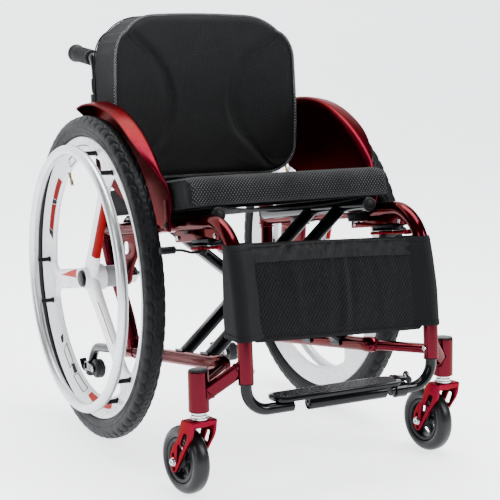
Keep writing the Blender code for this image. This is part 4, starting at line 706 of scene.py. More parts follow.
wheel = {
    "x": 0.245, "z": 0.305, "radius": 0.305, "rimOuter": 0.2664, "rimInner": 0.2275, "rimHalf": 0.0131,
    "phase": 68.5,
    "spokes": 3, "spokeWide": 0.04, "fillet": 0.034, "treads": 72, "treadDeep": 0.0026, "pushRadius": 0.2424,
    "pushTube": 0.0095, "pushOut": 0.0394, "postAngle": 10.0, "valveAngle": 124.0, "barrelEnd": 0.0437,
    "pinOut": 0.0123, "hubRadius": 0.0215, "dished": (0.231, 0.032), "stripe": (99, 212),
}


# A point on the wheel from its radius, its turn up from straight ahead, and its way out from the middle
def onWheel(s, radius, turn, out):
    radius, turn, out = np.broadcast_arrays(radius, turn, out)
    return np.stack([s * (wheel["x"] + out), -radius * np.cos(turn), wheel["z"] + radius * np.sin(turn)], -1)


# The tyre: a closed profile round the wheel. Its outer third is cut by a zigzag groove on each side of the
# middle, by notches across the shoulders and by fine sipes, all of them functions of the turn.
def tyre(tag, s):
    bead, r, w = wheel["rimOuter"] + 0.0003, wheel["radius"], 0.018
    side = [(0.01, bead), (0.0128, bead + 0.0016), (0.0142, bead + 0.0022), (0.0158, bead + 0.006)]
    side += [(0.0172, r - 0.025), (0.0179, r - 0.019), (0.0178, r - 0.0135)]
    turn = np.linspace(math.radians(10), math.pi / 2, 17)
    crown = np.stack([0.0176 * np.cos(turn) ** 0.86, r - 0.0126 + 0.0126 * np.sin(turn)], 1)
    profile = mirrored(np.concatenate([softened(side, 0.0014, False, 2), crown]))
    turns = np.arange(wheel["treads"] * 10)[:, None] / (wheel["treads"] * 10)
    out, radius = profile.T[:, None]
    share = np.abs(out / w)
    saw, halfSaw = (np.abs(((turns * wheel["treads"] + shift) % 1) * 2 - 1) for shift in (0, 0.5))
    groove = bump(share - 0.34 - 0.26 * saw, 0.066)
    notch = bump(halfSaw - 0.08, 0.24) * (share > 0.62) * (share < 0.985)
    sipe = 0.5 * bump(saw - 0.5, 0.12) * (share < 0.2)
    onTread = np.clip((radius - (r - 0.0125)) / 0.003, 0, 1)
    radius = radius - wheel["treadDeep"] * onTread * np.clip(groove + notch * 0.8 + sipe, 0, 1)
    grid = onWheel(s, radius, 2 * np.pi * turns, out)
    addPiece(f"tyre_{tag}", gridShell(grid, True), tyreRubber, f"rear_wheel_{tag}", f"rear_tyre_{tag}", 60)

    # Two raised lines round each sidewall
    lines = []
    for side in (-1, 1):
        for radius, out, thick in ((r - 0.0225, 0.01745, 0.0007), (bead + 0.0078, 0.016, 0.0006)):
            ring = circle((side * out, radius), thick, 8)
            lines.append(turned(ring, (s * wheel["x"], 0, wheel["z"]), (s, 0, 0), 160, True))
    addPiece(f"tyre_lines_{tag}", lines, tyreRubber, f"rear_wheel_{tag}")


def spokeHalf(radius):
    start = wheel["rimInner"] - wheel["fillet"]
    reach = np.clip((radius - start) / wheel["fillet"], 0, 1)
    root = np.clip((0.052 - radius) / 0.028, 0, 1)
    return wheel["spokeWide"] / 2 * (1 + 0.1 * root**2) + wheel["fillet"] * (1 - np.sqrt(1 - reach**2)) * 0.8


# The rim is dished: its outer face slopes in towards the axle, and its inner one a little
def dish(radius, inner, more):
    start, reach = wheel["dished"]
    return inner + more * np.clip((radius - start) / reach, 0, 1.05)


def rimFace(radius):
    return dish(radius, 0.0012, 0.0119)


# A spoke's section across its middle line: a flattened curve with a shallow crease down its face. Its
# middle and its height are straight lines in the radius.
def spokeLevel(radius, start, fall):
    return start - fall * radius / (wheel["rimInner"] + 0.008)


def spokeCrease(across, radius):
    return 0.0016 * bump(across, 0.34) * np.clip((radius - 0.05) / 0.03, 0, 1)


def spokeTop(along, off):
    across = np.clip(np.abs(off) / spokeHalf(along), 0, 1)
    rounded = spokeLevel(along, 0.0096, 0.0046) * (1 - across**3.2) ** 0.375
    return spokeLevel(along, 0.0075, 0.0115) + rounded - spokeCrease(across, along)


def spokeGrid(s, k, radius, turn, grow=0.0):
    angle = math.radians(wheel["phase"] + 120 * k)
    out = np.array((0, -math.cos(angle), math.sin(angle)))
    side = np.array((0, math.sin(angle), math.cos(angle)))
    across, thick = signedPower(np.cos(turn), 0.62), signedPower(np.sin(turn), 0.75)
    radius = radius[:, None]
    centre = np.array((s * wheel["x"], 0, wheel["z"])) + out * radius
    centre += acrossWay * s * spokeLevel(radius, 0.0075, 0.0115)
    wide = (spokeHalf(radius) + grow) * across
    high = (spokeLevel(radius, 0.0096, 0.0046) + grow) * thick - spokeCrease(across, radius) * (thick > 0)
    return centre[:, None] + side * wide[..., None] + acrossWay * s * high[..., None]


# The one-piece rim: a deep ring, and spokes with a rounded section that widen into it
def rim(tag, s):
    w, inner, outer = wheel["rimHalf"], wheel["rimInner"], wheel["rimOuter"]
    ring = [(w - 0.0012, outer), (w - 0.0002, outer - 0.0022), (w, outer - 0.0034)]
    ring += [(float(rimFace(r)), r) for r in (outer - 0.01, outer - 0.02, inner + 0.005)]
    ring += [(-0.0006, inner + 0.0016), (-0.004, inner), (-0.0076, inner + 0.0018)]
    ring += [(float(dish(r, -0.0085, -0.0044)), r) for r in (inner + 0.0052, outer - 0.02, outer - 0.01)]
    ring += [(-w, outer - 0.0034), (-w + 0.0002, outer - 0.0022), (-w + 0.0012, outer)]
    ring += [(side * w * 0.45, outer - 0.0006) for side in (-1, 1)]
    centre = (s * wheel["x"], 0, wheel["z"])
    shells = [turned(softened(ring, 0.001, True, 3), centre, (s, 0, 0), 240, True)]
    radius = 0.012 + (inner - 0.004) * np.linspace(0, 1, 40) ** 0.8
    shells += [
        gridShell(spokeGrid(s, k, radius, 2 * np.pi * np.arange(28) / 28)) for k in range(wheel["spokes"])
    ]
    r = wheel["hubRadius"]
    hub = [(-0.019, 0), (-0.019, r + 0.002), (-0.0165, r + 0.0034), (-0.01, r + 0.0048)]
    hub += [
        (0.004, r + 0.0062), (0.012, r + 0.0026), (0.0145, r - 0.0006), (0.0205, r - 0.0012),
        (0.0225, r - 0.003), (0.0225, 0.017), (0.0118, 0.0166), (0.0118, 0),
    ]
    shells.append(turned(softened(hub, 0.0014, False, 3), centre, (s, 0, 0), 64))
    addPiece(f"rim_{tag}", shells, whiteRim, f"rear_wheel_{tag}", f"rear_rim_{tag}", 40)

    # The grey bearing barrel on the inner side, with shallow grooves round it
    end = -wheel["barrelEnd"]
    barrel = [(end, 0.0066), (end, 0.019), (end + 0.0012, 0.0203)]
    for k in range(3):
        start = -0.0395 + 0.0062 * k
        barrel += [
            (start, 0.0205), (start + 0.0008, 0.0198), (start + 0.0016, 0.0198), (start + 0.0024, 0.0205),
        ]
    barrel += [(-0.0185, 0.0205), (-0.0185, 0.0066)]
    addPiece(f"hub_barrel_{tag}", turned(barrel, centre, (s, 0, 0), 56, True), greyHub, f"rear_wheel_{tag}")

    # Valve, through the rim's inner edge
    foot, tip = onWheel(s, np.array((0.229, 0.201)), math.radians(wheel["valveAngle"]), -0.0035)
    valve = [
        (0, 0), (0, 0.0036), (0.003, 0.0036), (0.0034, 0.0027), (0.016, 0.0026), (0.0164, 0.0033),
        (0.0172, 0.0036),
    ]
    valve += [
        (0.0178, 0.0031), (0.0184, 0.0036), (0.019, 0.0031), (0.026, 0.0034), (0.0278, 0.0026), (0.028, 0),
    ]
    addPiece(f"valve_{tag}", turned(valve, foot, tip - foot, 20), brass, f"rear_wheel_{tag}")


# A foil 0.3 mm thick that follows the face below, rim or spoke. Each of its two edges is (radius, angle) at
# its start, middle and end, joined by a parabola, and the sheet runs straight between them.
def foil(s, edges, steps=24, rows=6, face=None):
    u = np.linspace(0, 1, steps)[:, None]
    v = np.linspace(0, 1, rows)[:, None]
    a, b = (
        e[0] * (1 - u) * (1 - 2 * u) + e[1] * 4 * u * (1 - u) + e[2] * u * (2 * u - 1)
        for e in np.array(edges)
    )
    flat = a[:, None] * (1 - v) + b[:, None] * v
    radius, degrees = flat[..., 0], flat[..., 1]
    base = face(radius, degrees) if face else rimFace(radius)
    top, low = (onWheel(s, radius, np.radians(degrees), base + off) for off in (0.00022, -0.0002))
    return gridShell(np.concatenate([top, low[:, ::-1]], 1))


# Foils on the rim: millimetres of radius and degrees at three places along the inner edge, then the outer.
# An outline is (first and last angle, two radii, slant).
rimFoils = {
    "red": (
        (232.5, 132.6, 232.5, 139, 232.5, 145.6, 244.2, 132.6, 244.2, 139.6, 244.2, 146.4),
        (232.5, 148.4, 232.5, 156, 232.5, 163.6, 244.2, 149.6, 244.2, 156, 244.2, 162.4),
    ),
    "coral": (
        (230.5, 262, 231, 268, 232, 274, 240.5, 260, 244, 266, 245, 271),
        (232, 281, 233, 286, 236, 291, 244, 279, 248, 285, 250, 291),
    ),
    "dark": (
        (232.5, 145.8, 232.5, 147, 232.5, 148.2, 244.2, 146.6, 244.2, 148, 244.2, 149.4),
        (232.5, 163.8, 232.5, 166, 231, 168, 244.2, 162.6, 244.2, 164, 243, 165.4),
    ),
    "short": (
        (240, 137, 240.8, 139, 241.6, 141, 244.3, 137, 244.3, 139, 244.3, 141),
        (233, 217, 234.5, 219, 237, 221, 242, 217.5, 242.5, 219, 243, 221),
        (229, 236, 229, 239, 231, 242, 237, 235, 238.5, 238, 240, 241),
    ),
    "outlines": (
        (84, 97, 0.235, 0.25, 3), (110, 118, 0.229, 0.241, -2), (223, 234, 0.23, 0.243, 2),
        (243, 257, 0.231, 0.244, -2),
    ),
    "line": 0.0009,
}


def foils(tag, s):
    def onRim(kind, steps=24):
        return [foil(s, np.array(row).reshape(2, 3, 2) / (1000, 1), steps) for row in rimFoils[kind]]

    # Edges beside a spoke's middle line, from the distance along it and off it
    def onSpoke(k, alongs, offsA, offsB):
        angle = wheel["phase"] + 120 * k

        def face(radius, degrees):
            turn = np.radians(angle - degrees)
            return spokeTop(radius * np.cos(turn), radius * np.sin(turn))

        alongs, offs = np.array(alongs), np.array((offsA, offsB))
        edges = np.stack([np.hypot(alongs, offs), angle - np.degrees(np.arctan2(offs, alongs))], -1)
        return foil(s, edges, 30, face=face)

    # Red wraps the front half of the first spoke
    radius, turn = np.linspace(0.052, 0.178, 40), np.radians(np.linspace(*wheel["stripe"], 26))
    over, under = (spokeGrid(s, 0, radius, turn, grow) for grow in (0.00025, -0.0002))
    half = spokeHalf(np.array((0.06, 0.105, 0.15)))
    red = [gridShell(np.concatenate([over, under[:, ::-1]], 1))] + onRim("red")
    red.append(onSpoke(2, (0.06, 0.105, 0.15), -0.6 * half, -0.72 * half))
    coral = [
        onSpoke(1, (0.064, 0.125, 0.188), (0.0176, 0.0134, 0.0091), (0.0012, 0.005, 0.0087))
    ] + onRim("coral")
    dark = onRim("dark") + onRim("short", 10)

    # Thin outlined four-sided shapes, each a line round it
    for start, end, low, high, slant in rimFoils["outlines"]:
        corners = np.array([(low, start), (high, start + slant), (high, end + slant), (low, end)])
        for a, b in zip(corners, np.roll(corners, -1, 0)):
            line = rimFoils["line"]
            off = np.array((line, 0) if abs(a[0] - b[0]) < 1e-6 else (0, math.degrees(line / 0.23)))
            edges = [(a + sign * off, (a + b) / 2 + sign * off, b + sign * off) for sign in (-1, 1)]
            dark.append(foil(s, edges, 14, 3))
    looks = (
        ("red_stripes", red, decalRed), ("coral_marks", coral, decalOrange), ("dark_lines", dark, decalBlack),
    )
    for name, shells, look in looks:
        addPiece(f"{name}_{tag}", shells, look, f"rear_wheel_{tag}")


# The handrim, and its posts: each a black stud with a flange on the rim's face and a nose into the handrim
def handrim(tag, s):
    centre = (s * wheel["x"], 0, wheel["z"])
    ring = circle((wheel["pushOut"], wheel["pushRadius"]), wheel["pushTube"], 28)
    body = f"rear_wheel_{tag}"
    addPiece(f"handrim_{tag}", turned(ring, centre, (s, 0, 0), 240, True), paleAlloy, body, f"pushrim_{tag}")
    studs, start = [], float(rimFace(wheel["pushRadius"])) - 0.0008
    long = wheel["pushOut"] - start
    stud = [(0, 0), (0, 0.0058), (0.001, 0.0062), (0.0022, 0.006), (0.0034, 0.0044)]
    stud += [(long - 0.011, 0.0041), (long - 0.008, 0.0052), (long, 0.0052), (long, 0)]
    for k in range(wheel["spokes"]):
        for step in (-wheel["postAngle"], wheel["postAngle"]):
            spot = onWheel(s, wheel["pushRadius"], math.radians(wheel["phase"] + 120 * k + step), start)
            studs.append(turned(softened(stud, 0.0005), spot, (s, 0, 0), 24))
    addPiece(f"handrim_posts_{tag}", studs, blackPlastic, body)
    button = [(0, 0), (0, 0.0124), (0.0012, 0.0136), (0.0042, 0.0154), (0.0062, 0.0154), (0.0074, 0.014)]
    button += [(0.008, 0.0112), (0.0076, 0.0098), (0.0079, 0.0092), (0.0083, 0.006), (0.0084, 0)]
    x, z = s * (wheel["x"] + wheel["pinOut"] + 0.0085), wheel["z"]
    shells = [
        turned(button, (x, 0, z), (s, 0, 0), 48), rod((x - s * 0.0144, 0, z), (x + s * 0.001, 0, z), 0.0028),
    ]
    addPiece(f"release_cap_{tag}", shells, blackPlastic, f"release_button_{tag}", f"hub_button_{tag}")


for tag, s in sides:
    sideFrame(tag, s)
    axleMount(tag, s)
    tyre(tag, s)
    rim(tag, s)
    foils(tag, s)
    handrim(tag, s)
print("frames and rear wheels placed")


# A caster is made straight, then turned about its stem a little off straight ahead
def caster(tag, s):
    angle = math.radians(casters["turn"][tag])
    c, d = math.cos(angle), math.sin(angle)
    stem = np.array((s * (chair["frameX"] + casters["out"]), frames["stemY"], 0))
    turn = np.array(((c, d, 0), (-d, c, 0), (0, 0, 1)))

    def put(name, shells, look, body, node, sharp=34):
        shells = [facingOut(points @ turn + stem, quads, tris) for points, quads, tris in shells]
        addPiece(f"{name}_{tag}", shells, look, f"{body}_{tag}", f"{node}_{tag}", sharp)

    y, z, top, half = casters["trail"], casters["radius"], crownZ, casters["hubHalf"]
    wall, legIn = casters["wall"], half + 0.0004
    leg = [(-0.017, top), (0.016, top), (0.0215, top - 0.012), (0.03, top - 0.038), (y + 0.0005, z + 0.03)]
    leg += [(y + 0.0105, z + 0.012), (y + 0.012, z - 0.005), (y + 0.006, z - 0.0175), (y - 0.004, z - 0.019)]
    leg += [(y - 0.018, z + 0.001), (y - 0.038, z + 0.03), (-0.0125, top - 0.026)]
    outline = softened(
        leg, (0.003, 0.003, 0.006, 0.01, 0.01, 0.008, 0.008, 0.007, 0.007, 0.012, 0.014, 0.012), True, 5
    )
    upper = [(-0.001, top - 0.0215), (0.0095, top - 0.0215), (0.0215, top - 0.043), (0.008, top - 0.044)]
    lower = [
        (y - 0.029, z + 0.031), (y - 0.013, z + 0.033), (y - 0.009, z + 0.01), (y - 0.0085, z - 0.004),
        (y - 0.016, z + 0.011),
    ]
    holes = [softened(upper, 0.0042, True, 5), softened(lower, (0.005, 0.005, 0.004, 0.003, 0.008), True, 5)]
    holes += [circle((y + 0.001 * step, z + 0.0115 * step), 0.0031, 24) for step in (-1, 1)]
    holes.append(circle((y, z), 0.0044, 24))
    middle = legIn + wall / 2
    shells = [plate(outline, holes, wall / 2, 0.0011, standing, (side * middle, 0, 0)) for side in (-1, 1)]
    crown = [(-0.017, top), (0.016, top), (0.0213, top - 0.0122), (-0.0145, top - 0.012)]
    crown = softened(crown, (0.003, 0.003, 0.004, 0.004), True, 4)
    shells.append(plate(crown, [], legIn + wall - 0.0004, 0.0016, standing, (0, 0, 0)))
    boss = [(0, 0), (0, 0.0166), (0.0012, 0.0176), (0.004, 0.0176), (0.0052, 0.0164), (0.0052, 0)]
    shells.append(turned(boss, (0, 0, top - 0.005), upWay, 40))
    shells.append(rod((0, 0, top - 0.004), (0, 0, housingHigh - 0.014), 0.0062))
    put("fork", shells, forgedRed, "caster_swivel", "caster_fork")

    race = 0.0068
    washer = [
        (0.0004, race), (0.0004, 0.0146), (0.001, 0.0152), (0.003, 0.0152), (0.0036, 0.0146),
        (0.0042, 0.0132),
    ]
    washer += [(0.0072, 0.0132), (0.0078, 0.0124), (0.0084, 0.0114), (0.0112, 0.0112), (0.0114, race)]
    shells = [turned(washer, (0, 0, top + 0.0002), upWay, 48, True)]
    put("stem_bearing", shells, steel, "caster_swivel", "caster_bearing", 28)

    axle, out = np.array((0, y, z)), legIn + wall + 0.0003
    washer = [(0, 0), (0, 0.0068), (0.0005, 0.007), (0.001, 0.0066), (0.001, 0)]
    shells = []
    for side in (-1, 1):
        shells.append(turned(washer, axle + (side * (out - 0.0002), 0, 0), (side, 0, 0), 32))
        shells.append(boltHead(axle + (side * (out + 0.0006), 0, 0), (side, 0, 0), 0.0058, 0.0036))
    shells.append(rod(axle - (out, 0, 0), axle + (out, 0, 0), 0.0039))
    put("caster_screw", shells, steel, "caster_swivel", "caster_bolt", 28)

    w, bed = casters["halfWide"], z - 0.0185
    arc = np.radians(np.linspace(4, 90, 16))
    crownLine = np.stack([w * np.cos(arc) ** 0.75, z - 0.0125 + 0.0125 * np.sin(arc)], 1)
    root = softened([(w * 0.8, bed), (w * 0.9, bed + 0.001), (w * 0.985, bed + 0.0048)], 0.001)
    profiles = [mirrored(np.concatenate([root, crownLine]))]
    profiles += [circle((side * w * 0.955, bed + 0.0052), 0.0006, 8) for side in (-1, 1)]
    shells = [turned(profile, axle, acrossWay, 128, True) for profile in profiles]
    put("caster_rubber", shells, casterRubber, "caster_wheel", "caster_tyre")
    ring = [(0.0112, bed - 0.0004), (0.0128, bed - 0.0016), (0.0118, bed - 0.0072), (0.006, bed - 0.0084)]
    ring = [(-x, r) for x, r in ring] + ring[::-1]
    barrel = [(half, 0.0044), (half, 0.0094), (half - 0.001, 0.0104), (0.0115, 0.0118), (0.0095, 0.0136)]
    barrel = [(-x, r) for x, r in barrel] + barrel[::-1]
    shells = [turned(softened(ring, 0.0008, True, 2), axle, acrossWay, 96, True)]
    shells.append(turned(barrel, axle, acrossWay, 48, True))
    for k in range(casters["spokes"]):
        angle = 2 * math.pi * (k + 0.31) / casters["spokes"]
        out = np.array((0, math.cos(angle), math.sin(angle)))
        line = axle + out * np.linspace(0.01, bed - 0.005, 12)[:, None]
        wide = 0.0052 + 0.0035 * np.abs(np.linspace(-1, 1, 12)) ** 3
        shells.append(tube(line, wide, 20, acrossWay, None, 0.0004, 0.8))
    put("caster_disc", shells, blackPlastic, "caster_wheel", "caster_hub")


# Side guards: a panel beside the seat, whose top rolls outward over the tyre. The profile (out, radius) is
# carried round the axle, and its lip narrows towards both ends.

guard = {
    "x": 0.205, "clear": 0.0255, "wall": 0.003, "rear": 104.0, "front": 25.0, "bosses": (-0.15, -0.262),
    "edge": ((0.052, 0.111), (-0.135, 0.022), (-0.306, -0.016)), "wallRows": 13, "nose": 0.034,
    "lipAt": (25, 35, 38, 41, 46, 50, 56, 97, 104),
    "lip": (0.003, 0.004, 0.01, 0.017, 0.026, 0.0315, 0.0365, 0.04, 0.036),
}


def sideGuard(tag, s):
    r, t = wheel["radius"] + guard["clear"], guard["wall"]
    rear, front = guard["rear"], guard["front"]
    degrees = np.concatenate([[rear], np.linspace(rear - 0.25, front + 0.25, 120), [front]])
    angle = np.radians(degrees)
    edge = np.array([(y, topZ(y) + rise) for y, rise in guard["edge"]])
    yWay, zWay = -np.cos(angle), np.sin(angle)
    low = np.full(len(angle), r - 0.018)
    for (y0, z0), (y1, z1) in zip(edge, edge[1:]):
        dy, dz = y1 - y0, z1 - z0
        cross = yWay * dz - zWay * dy
        share = (zWay * y0 - yWay * (z0 - wheel["radius"])) / cross
        reach = np.hypot(y0 + dy * share, z0 + dz * share - wheel["radius"])
        low = np.where((share >= -1e-6) & (share <= 1), np.minimum(reach, low), low)
    lip = np.interp(degrees, guard["lipAt"], guard["lip"])
    lip = np.convolve(np.pad(lip, 4, "edge"), np.ones(9) / 9, "valid")
    curl = np.clip(lip * 0.8, 0.0032, 0.011)
    thin = np.ones(len(angle))
    thin[[0, -1]] = 0.5
    rounded = guard["nose"] * np.clip((33 - degrees) / 8, 0, 1) ** 2.4
    low, lip, thin, curl, r = (
        v[:, None] for v in (low, np.maximum(lip, curl + 0.0012), thin, curl, r - rounded)
    )

    # Outer line of the profile, then the inner line back: up the wall, round the curl and out along the lip
    def line(offset):
        flat = np.linspace(0, 1, guard["wallRows"], endpoint=False)
        turn = np.radians(np.linspace(0, 90, 11))
        u = np.linspace(0, 1, 15)[1:]
        bent = curl * 1.5
        spans = (
            (offset, low + (r - bent - low) * flat),
            (curl - (curl - offset) * np.cos(turn), r - bent + (bent - offset) * np.sin(turn)),
            (curl + (lip - curl) * u, r - offset - 0.0035 * u**1.8),
        )
        return np.concatenate([np.stack(np.broadcast_arrays(*span), -1) for span in spans], 1)

    mid = line(t / 2)
    outer, inner = (mid + (line(v) - mid) * thin[..., None] for v in (0.0, t))
    outer[:, 0, 1] += 0.0004
    tip, root = ((outer[:, k] + inner[:, k]) / 2 - (0, 0.0006) for k in (slice(-1, None), slice(0, 1)))
    loop = np.concatenate([outer, tip, inner[:, ::-1], root], 1)
    across, radius = loop[..., 0], loop[..., 1]
    shells = [gridShell(onWheel(s, radius, angle[:, None], guard["x"] - wheel["x"] + across))]

    # Tabs and spacers that hold the guard to the top tube
    for y in guard["bosses"]:
        z = topZ(y)
        tab = [(y - 0.012, z - 0.011), (y + 0.012, z - 0.011), (y + 0.01, z + 0.045), (y - 0.01, z + 0.045)]
        place = (s * (guard["x"] + t / 2), 0, 0)
        shells.append(plate(softened(tab, 0.005, True, 5), [], t / 2 + 0.0004, 0.0008, standing, place))
        ends = ((s * x, y, z) for x in (chair["frameX"] + chair["tube"] + 0.0003, guard["x"] + 0.001))
        shells.append(rod(*ends, 0.006, 28))
    addPiece(f"guard_{tag}", shells, satinRed, f"{tag}_frame", f"side_guard_{tag}", 50)
    screws = [
        boltHead((s * (guard["x"] + t + 0.0003), y, topZ(y)), (s, 0, 0), 0.0056, 0.0026, 28)
        for y in guard["bosses"]
    ]
    addPiece(f"guard_screws_{tag}", screws, blackPlastic, f"{tag}_frame", (), 28)


# Back posts, push handles and the clamps on the posts

posts = {
    "radius": 0.011, "top": 0.69, "handleUp": 7, "gripLong": 0.096, "gripRadius": 0.016, "clampZ": 0.636,
    "ribs": 13,
}


def backPost(tag, s):
    body, x, r = f"{tag}_frame", s * chair["frameX"], posts["radius"]
    foot, knee = postSocket(s) + postWay * 0.016, np.array((x, postY(posts["top"]), posts["top"]))
    rise = math.radians(posts["handleUp"])
    handle = np.array((0, math.cos(rise), math.sin(rise)))
    corner = knee + postWay * 0.026
    end = corner + handle * 0.017
    bend = bezier(knee, knee + (corner - knee) * 0.55, end + (corner - end) * 0.55, end, 20)
    path = np.concatenate([np.linspace(foot, knee, 12)[:-1], bend, [end + handle * 0.004]])
    addPiece(f"handle_tube_{tag}", tube(path, r, 32), glossBlack, body, f"back_post_{tag}")
    end = end + handle * 0.0043

    # The grip's rings stand proud of its waist, with a flange at the hand's end
    g, long = posts["gripRadius"], posts["gripLong"]
    profile = [(0, 0), (0, g - 0.0032), (0.0012, g - 0.0012), (0.0045, g), (0.008, g - 0.0004)]
    pitch = (long - 0.03) / posts["ribs"]
    for k in range(posts["ribs"]):
        rib = ((0, 0.0021), (0.22, 0.0021), (0.36, 0.0002), (0.72, 0.0002), (0.88, 0.0021))
        profile += [(0.0105 + k * pitch + pitch * share, g - deep) for share, deep in rib]
    profile += [(long - 0.0165, g - 0.0014), (long - 0.0125, g - 0.0008), (long - 0.0085, g + 0.0018)]
    profile += [(long - 0.0035, g + 0.0022), (long - 0.0012, g + 0.0008), (long, g - 0.003), (long, 0)]
    addPiece(f"hand_grip_{tag}", turned(profile, end, handle, 48), blackRubber, body, f"push_grip_{tag}")

    middle = np.array((x, postY(posts["clampZ"]), posts["clampZ"]))
    collar = [(-0.012, r + 0.0003), (-0.012, r + 0.0036), (-0.0112, r + 0.0045)]
    collar = np.array(collar + [(-x, out) for x, out in collar[::-1]])
    turn = np.linspace(-0.78, np.pi + 0.78, 60)[:, None]
    around = np.cos(turn) * acrossWay + np.sin(turn) * backWay
    shells = [gridShell(middle + postWay * collar[:, :1] + around[:, None] * collar[:, 1:])]
    y, z = middle[1:]
    shells.append(block((x - 0.006, y + 0.011, z - 0.009), (x + 0.006, y + 0.026, z + 0.009), 0.0012))
    addPiece(f"post_clamp_{tag}", shells, blackPlastic, body, f"back_post_clamp_{tag}")
    bolt = [
        boltHead((x + side * 0.0058, y + 0.0185, z), (side, 0, 0), 0.004, 0.0026, sides, side < 0)
        for side, sides in ((-1, 24), (1, 6))
    ]
    addPiece(f"post_screw_{tag}", bolt, steel, body, (), 28)


# Brakes: a clamp on the bar, with one pivot for the hand lever and the shoe's arm

brake = {
    "y": -0.355, "pivotY": -0.338, "reach": 0.08, "shoeY": -0.312, "shoeRadius": 0.0066, "barDrop": 0.031,
    "half": 0.033,
}


def brakes(tag, s):
    x, y = s * chair["frameX"], brake["y"]
    turn = np.array((acrossWay, -alongWay, aboveWay)).T
    place = np.array((x, y, topZ(y)))
    low = -brake["barDrop"] - 0.0075
    pinY = (brake["pivotY"] - y) / math.cos(tilt)
    armTop = low - 0.0003 - 0.0065 - 0.0003
    half, drop = brake["half"], brake["barDrop"]

    def at(*point):
        return place + turn @ point

    shells = [
        block((side * 0.0053, -half, low), (side * 0.0125, half, 0.0034 - drop), 0.0012, turn, place)
        for side in (-1, 1)
    ]
    shells.append(block((-0.0125, -half, low), (0.0125, half, -drop - 0.0004), 0.0014, turn, place))
    shells.append(rod(at(0, pinY, low + 0.002), at(0, pinY, armTop - 0.007), 0.0035))
    shells.append(boltHead(at(0, pinY, armTop - 0.0053), -aboveWay, 0.006, 0.0026, 28))
    body = f"{tag}_frame"
    addPiece(f"brake_body_{tag}", shells, blackPlastic, body, f"brake_clamp_{tag}")
    screws = [boltHead(at(0, step, low + 0.0004), -aboveWay, 0.004, 0.0032) for step in (-0.02, 0.02)]
    addPiece(f"brake_screws_{tag}", screws, steel, body, (), 28)

    pivot, reach = at(0, pinY, low - 0.0003), brake["reach"]
    path = [pivot + turn @ (0, y, -0.0034) for y in (0.034, 0.02, 0, -0.03, -reach)]
    shells = [tube(smoothLine(path, 8), 0.0058, 28, aboveWay, 0.0029, 0.0006, 0.62)]
    eye = [(0, 0.0039), (0, 0.0082), (0.0007, 0.009), (0.0056, 0.009), (0.0062, 0.0082), (0.0062, 0.0039)]
    shells.append(turned(eye, pivot - aboveWay * 0.0064, aboveWay, 40, True))
    knob = [(0, 0), (0, 0.0068), (0.0009, 0.008), (0.008, 0.008), (0.0088, 0.007), (0.009, 0)]
    shells.append(turned(softened(knob, 0.0006), pivot + turn @ (0, -reach, -0.008), aboveWay, 36))
    addPiece(f"lever_bar_{tag}", shells, forgedRed, f"brake_lever_body_{tag}", f"brake_lever_{tag}")

    pivot = at(0, pinY, armTop)
    out = s * (wheel["x"] - chair["frameX"])
    shoeY = (brake["shoeY"] - brake["pivotY"]) / math.cos(tilt)
    line = [
        (0, 0, -0.0026), (out * 0.3, shoeY * 0.08, -0.0026), (out * 0.55, shoeY * 0.35, 0.0026),
        (out, shoeY, 0.0044),
    ]
    line = smoothLine(line, 10) @ turn.T + pivot
    shells = [tube(line[: len(line) * 4 // 5], 0.0064, 24, aboveWay, 0.0023, 0.0006, 0.6)]
    shells.append(turned(drum(0, 0.005, 0.008, 0.0006, 0.0039), pivot - aboveWay * 0.005, aboveWay, 36, True))
    spot, r = pivot + turn @ (out - s * 0.0125, shoeY, 0.0038), brake["shoeRadius"]
    shoe = [(-0.0136, 0), (-0.0136, r - 0.0012), (-0.0124, r)]
    for k in range(6):
        start = -0.0114 + k * 0.004
        shoe += [(start, r), (start + 0.0006, r - 0.0009), (start + 0.0014, r - 0.0009), (start + 0.002, r)]
    shoe += [(0.013, r), (0.014, r - 0.0012), (0.014, 0)]
    shells.append(turned(shoe, spot, acrossWay, 36))
    addPiece(f"brake_shoe_{tag}", shells, blackPlastic, f"brake_arm_body_{tag}", f"brake_arm_{tag}")


# Anti-tippers

tipper = {"radius": 0.0095, "x": 0.157, "y": 0.228, "z": 0.073, "wheel": 0.02, "end": 0.281}


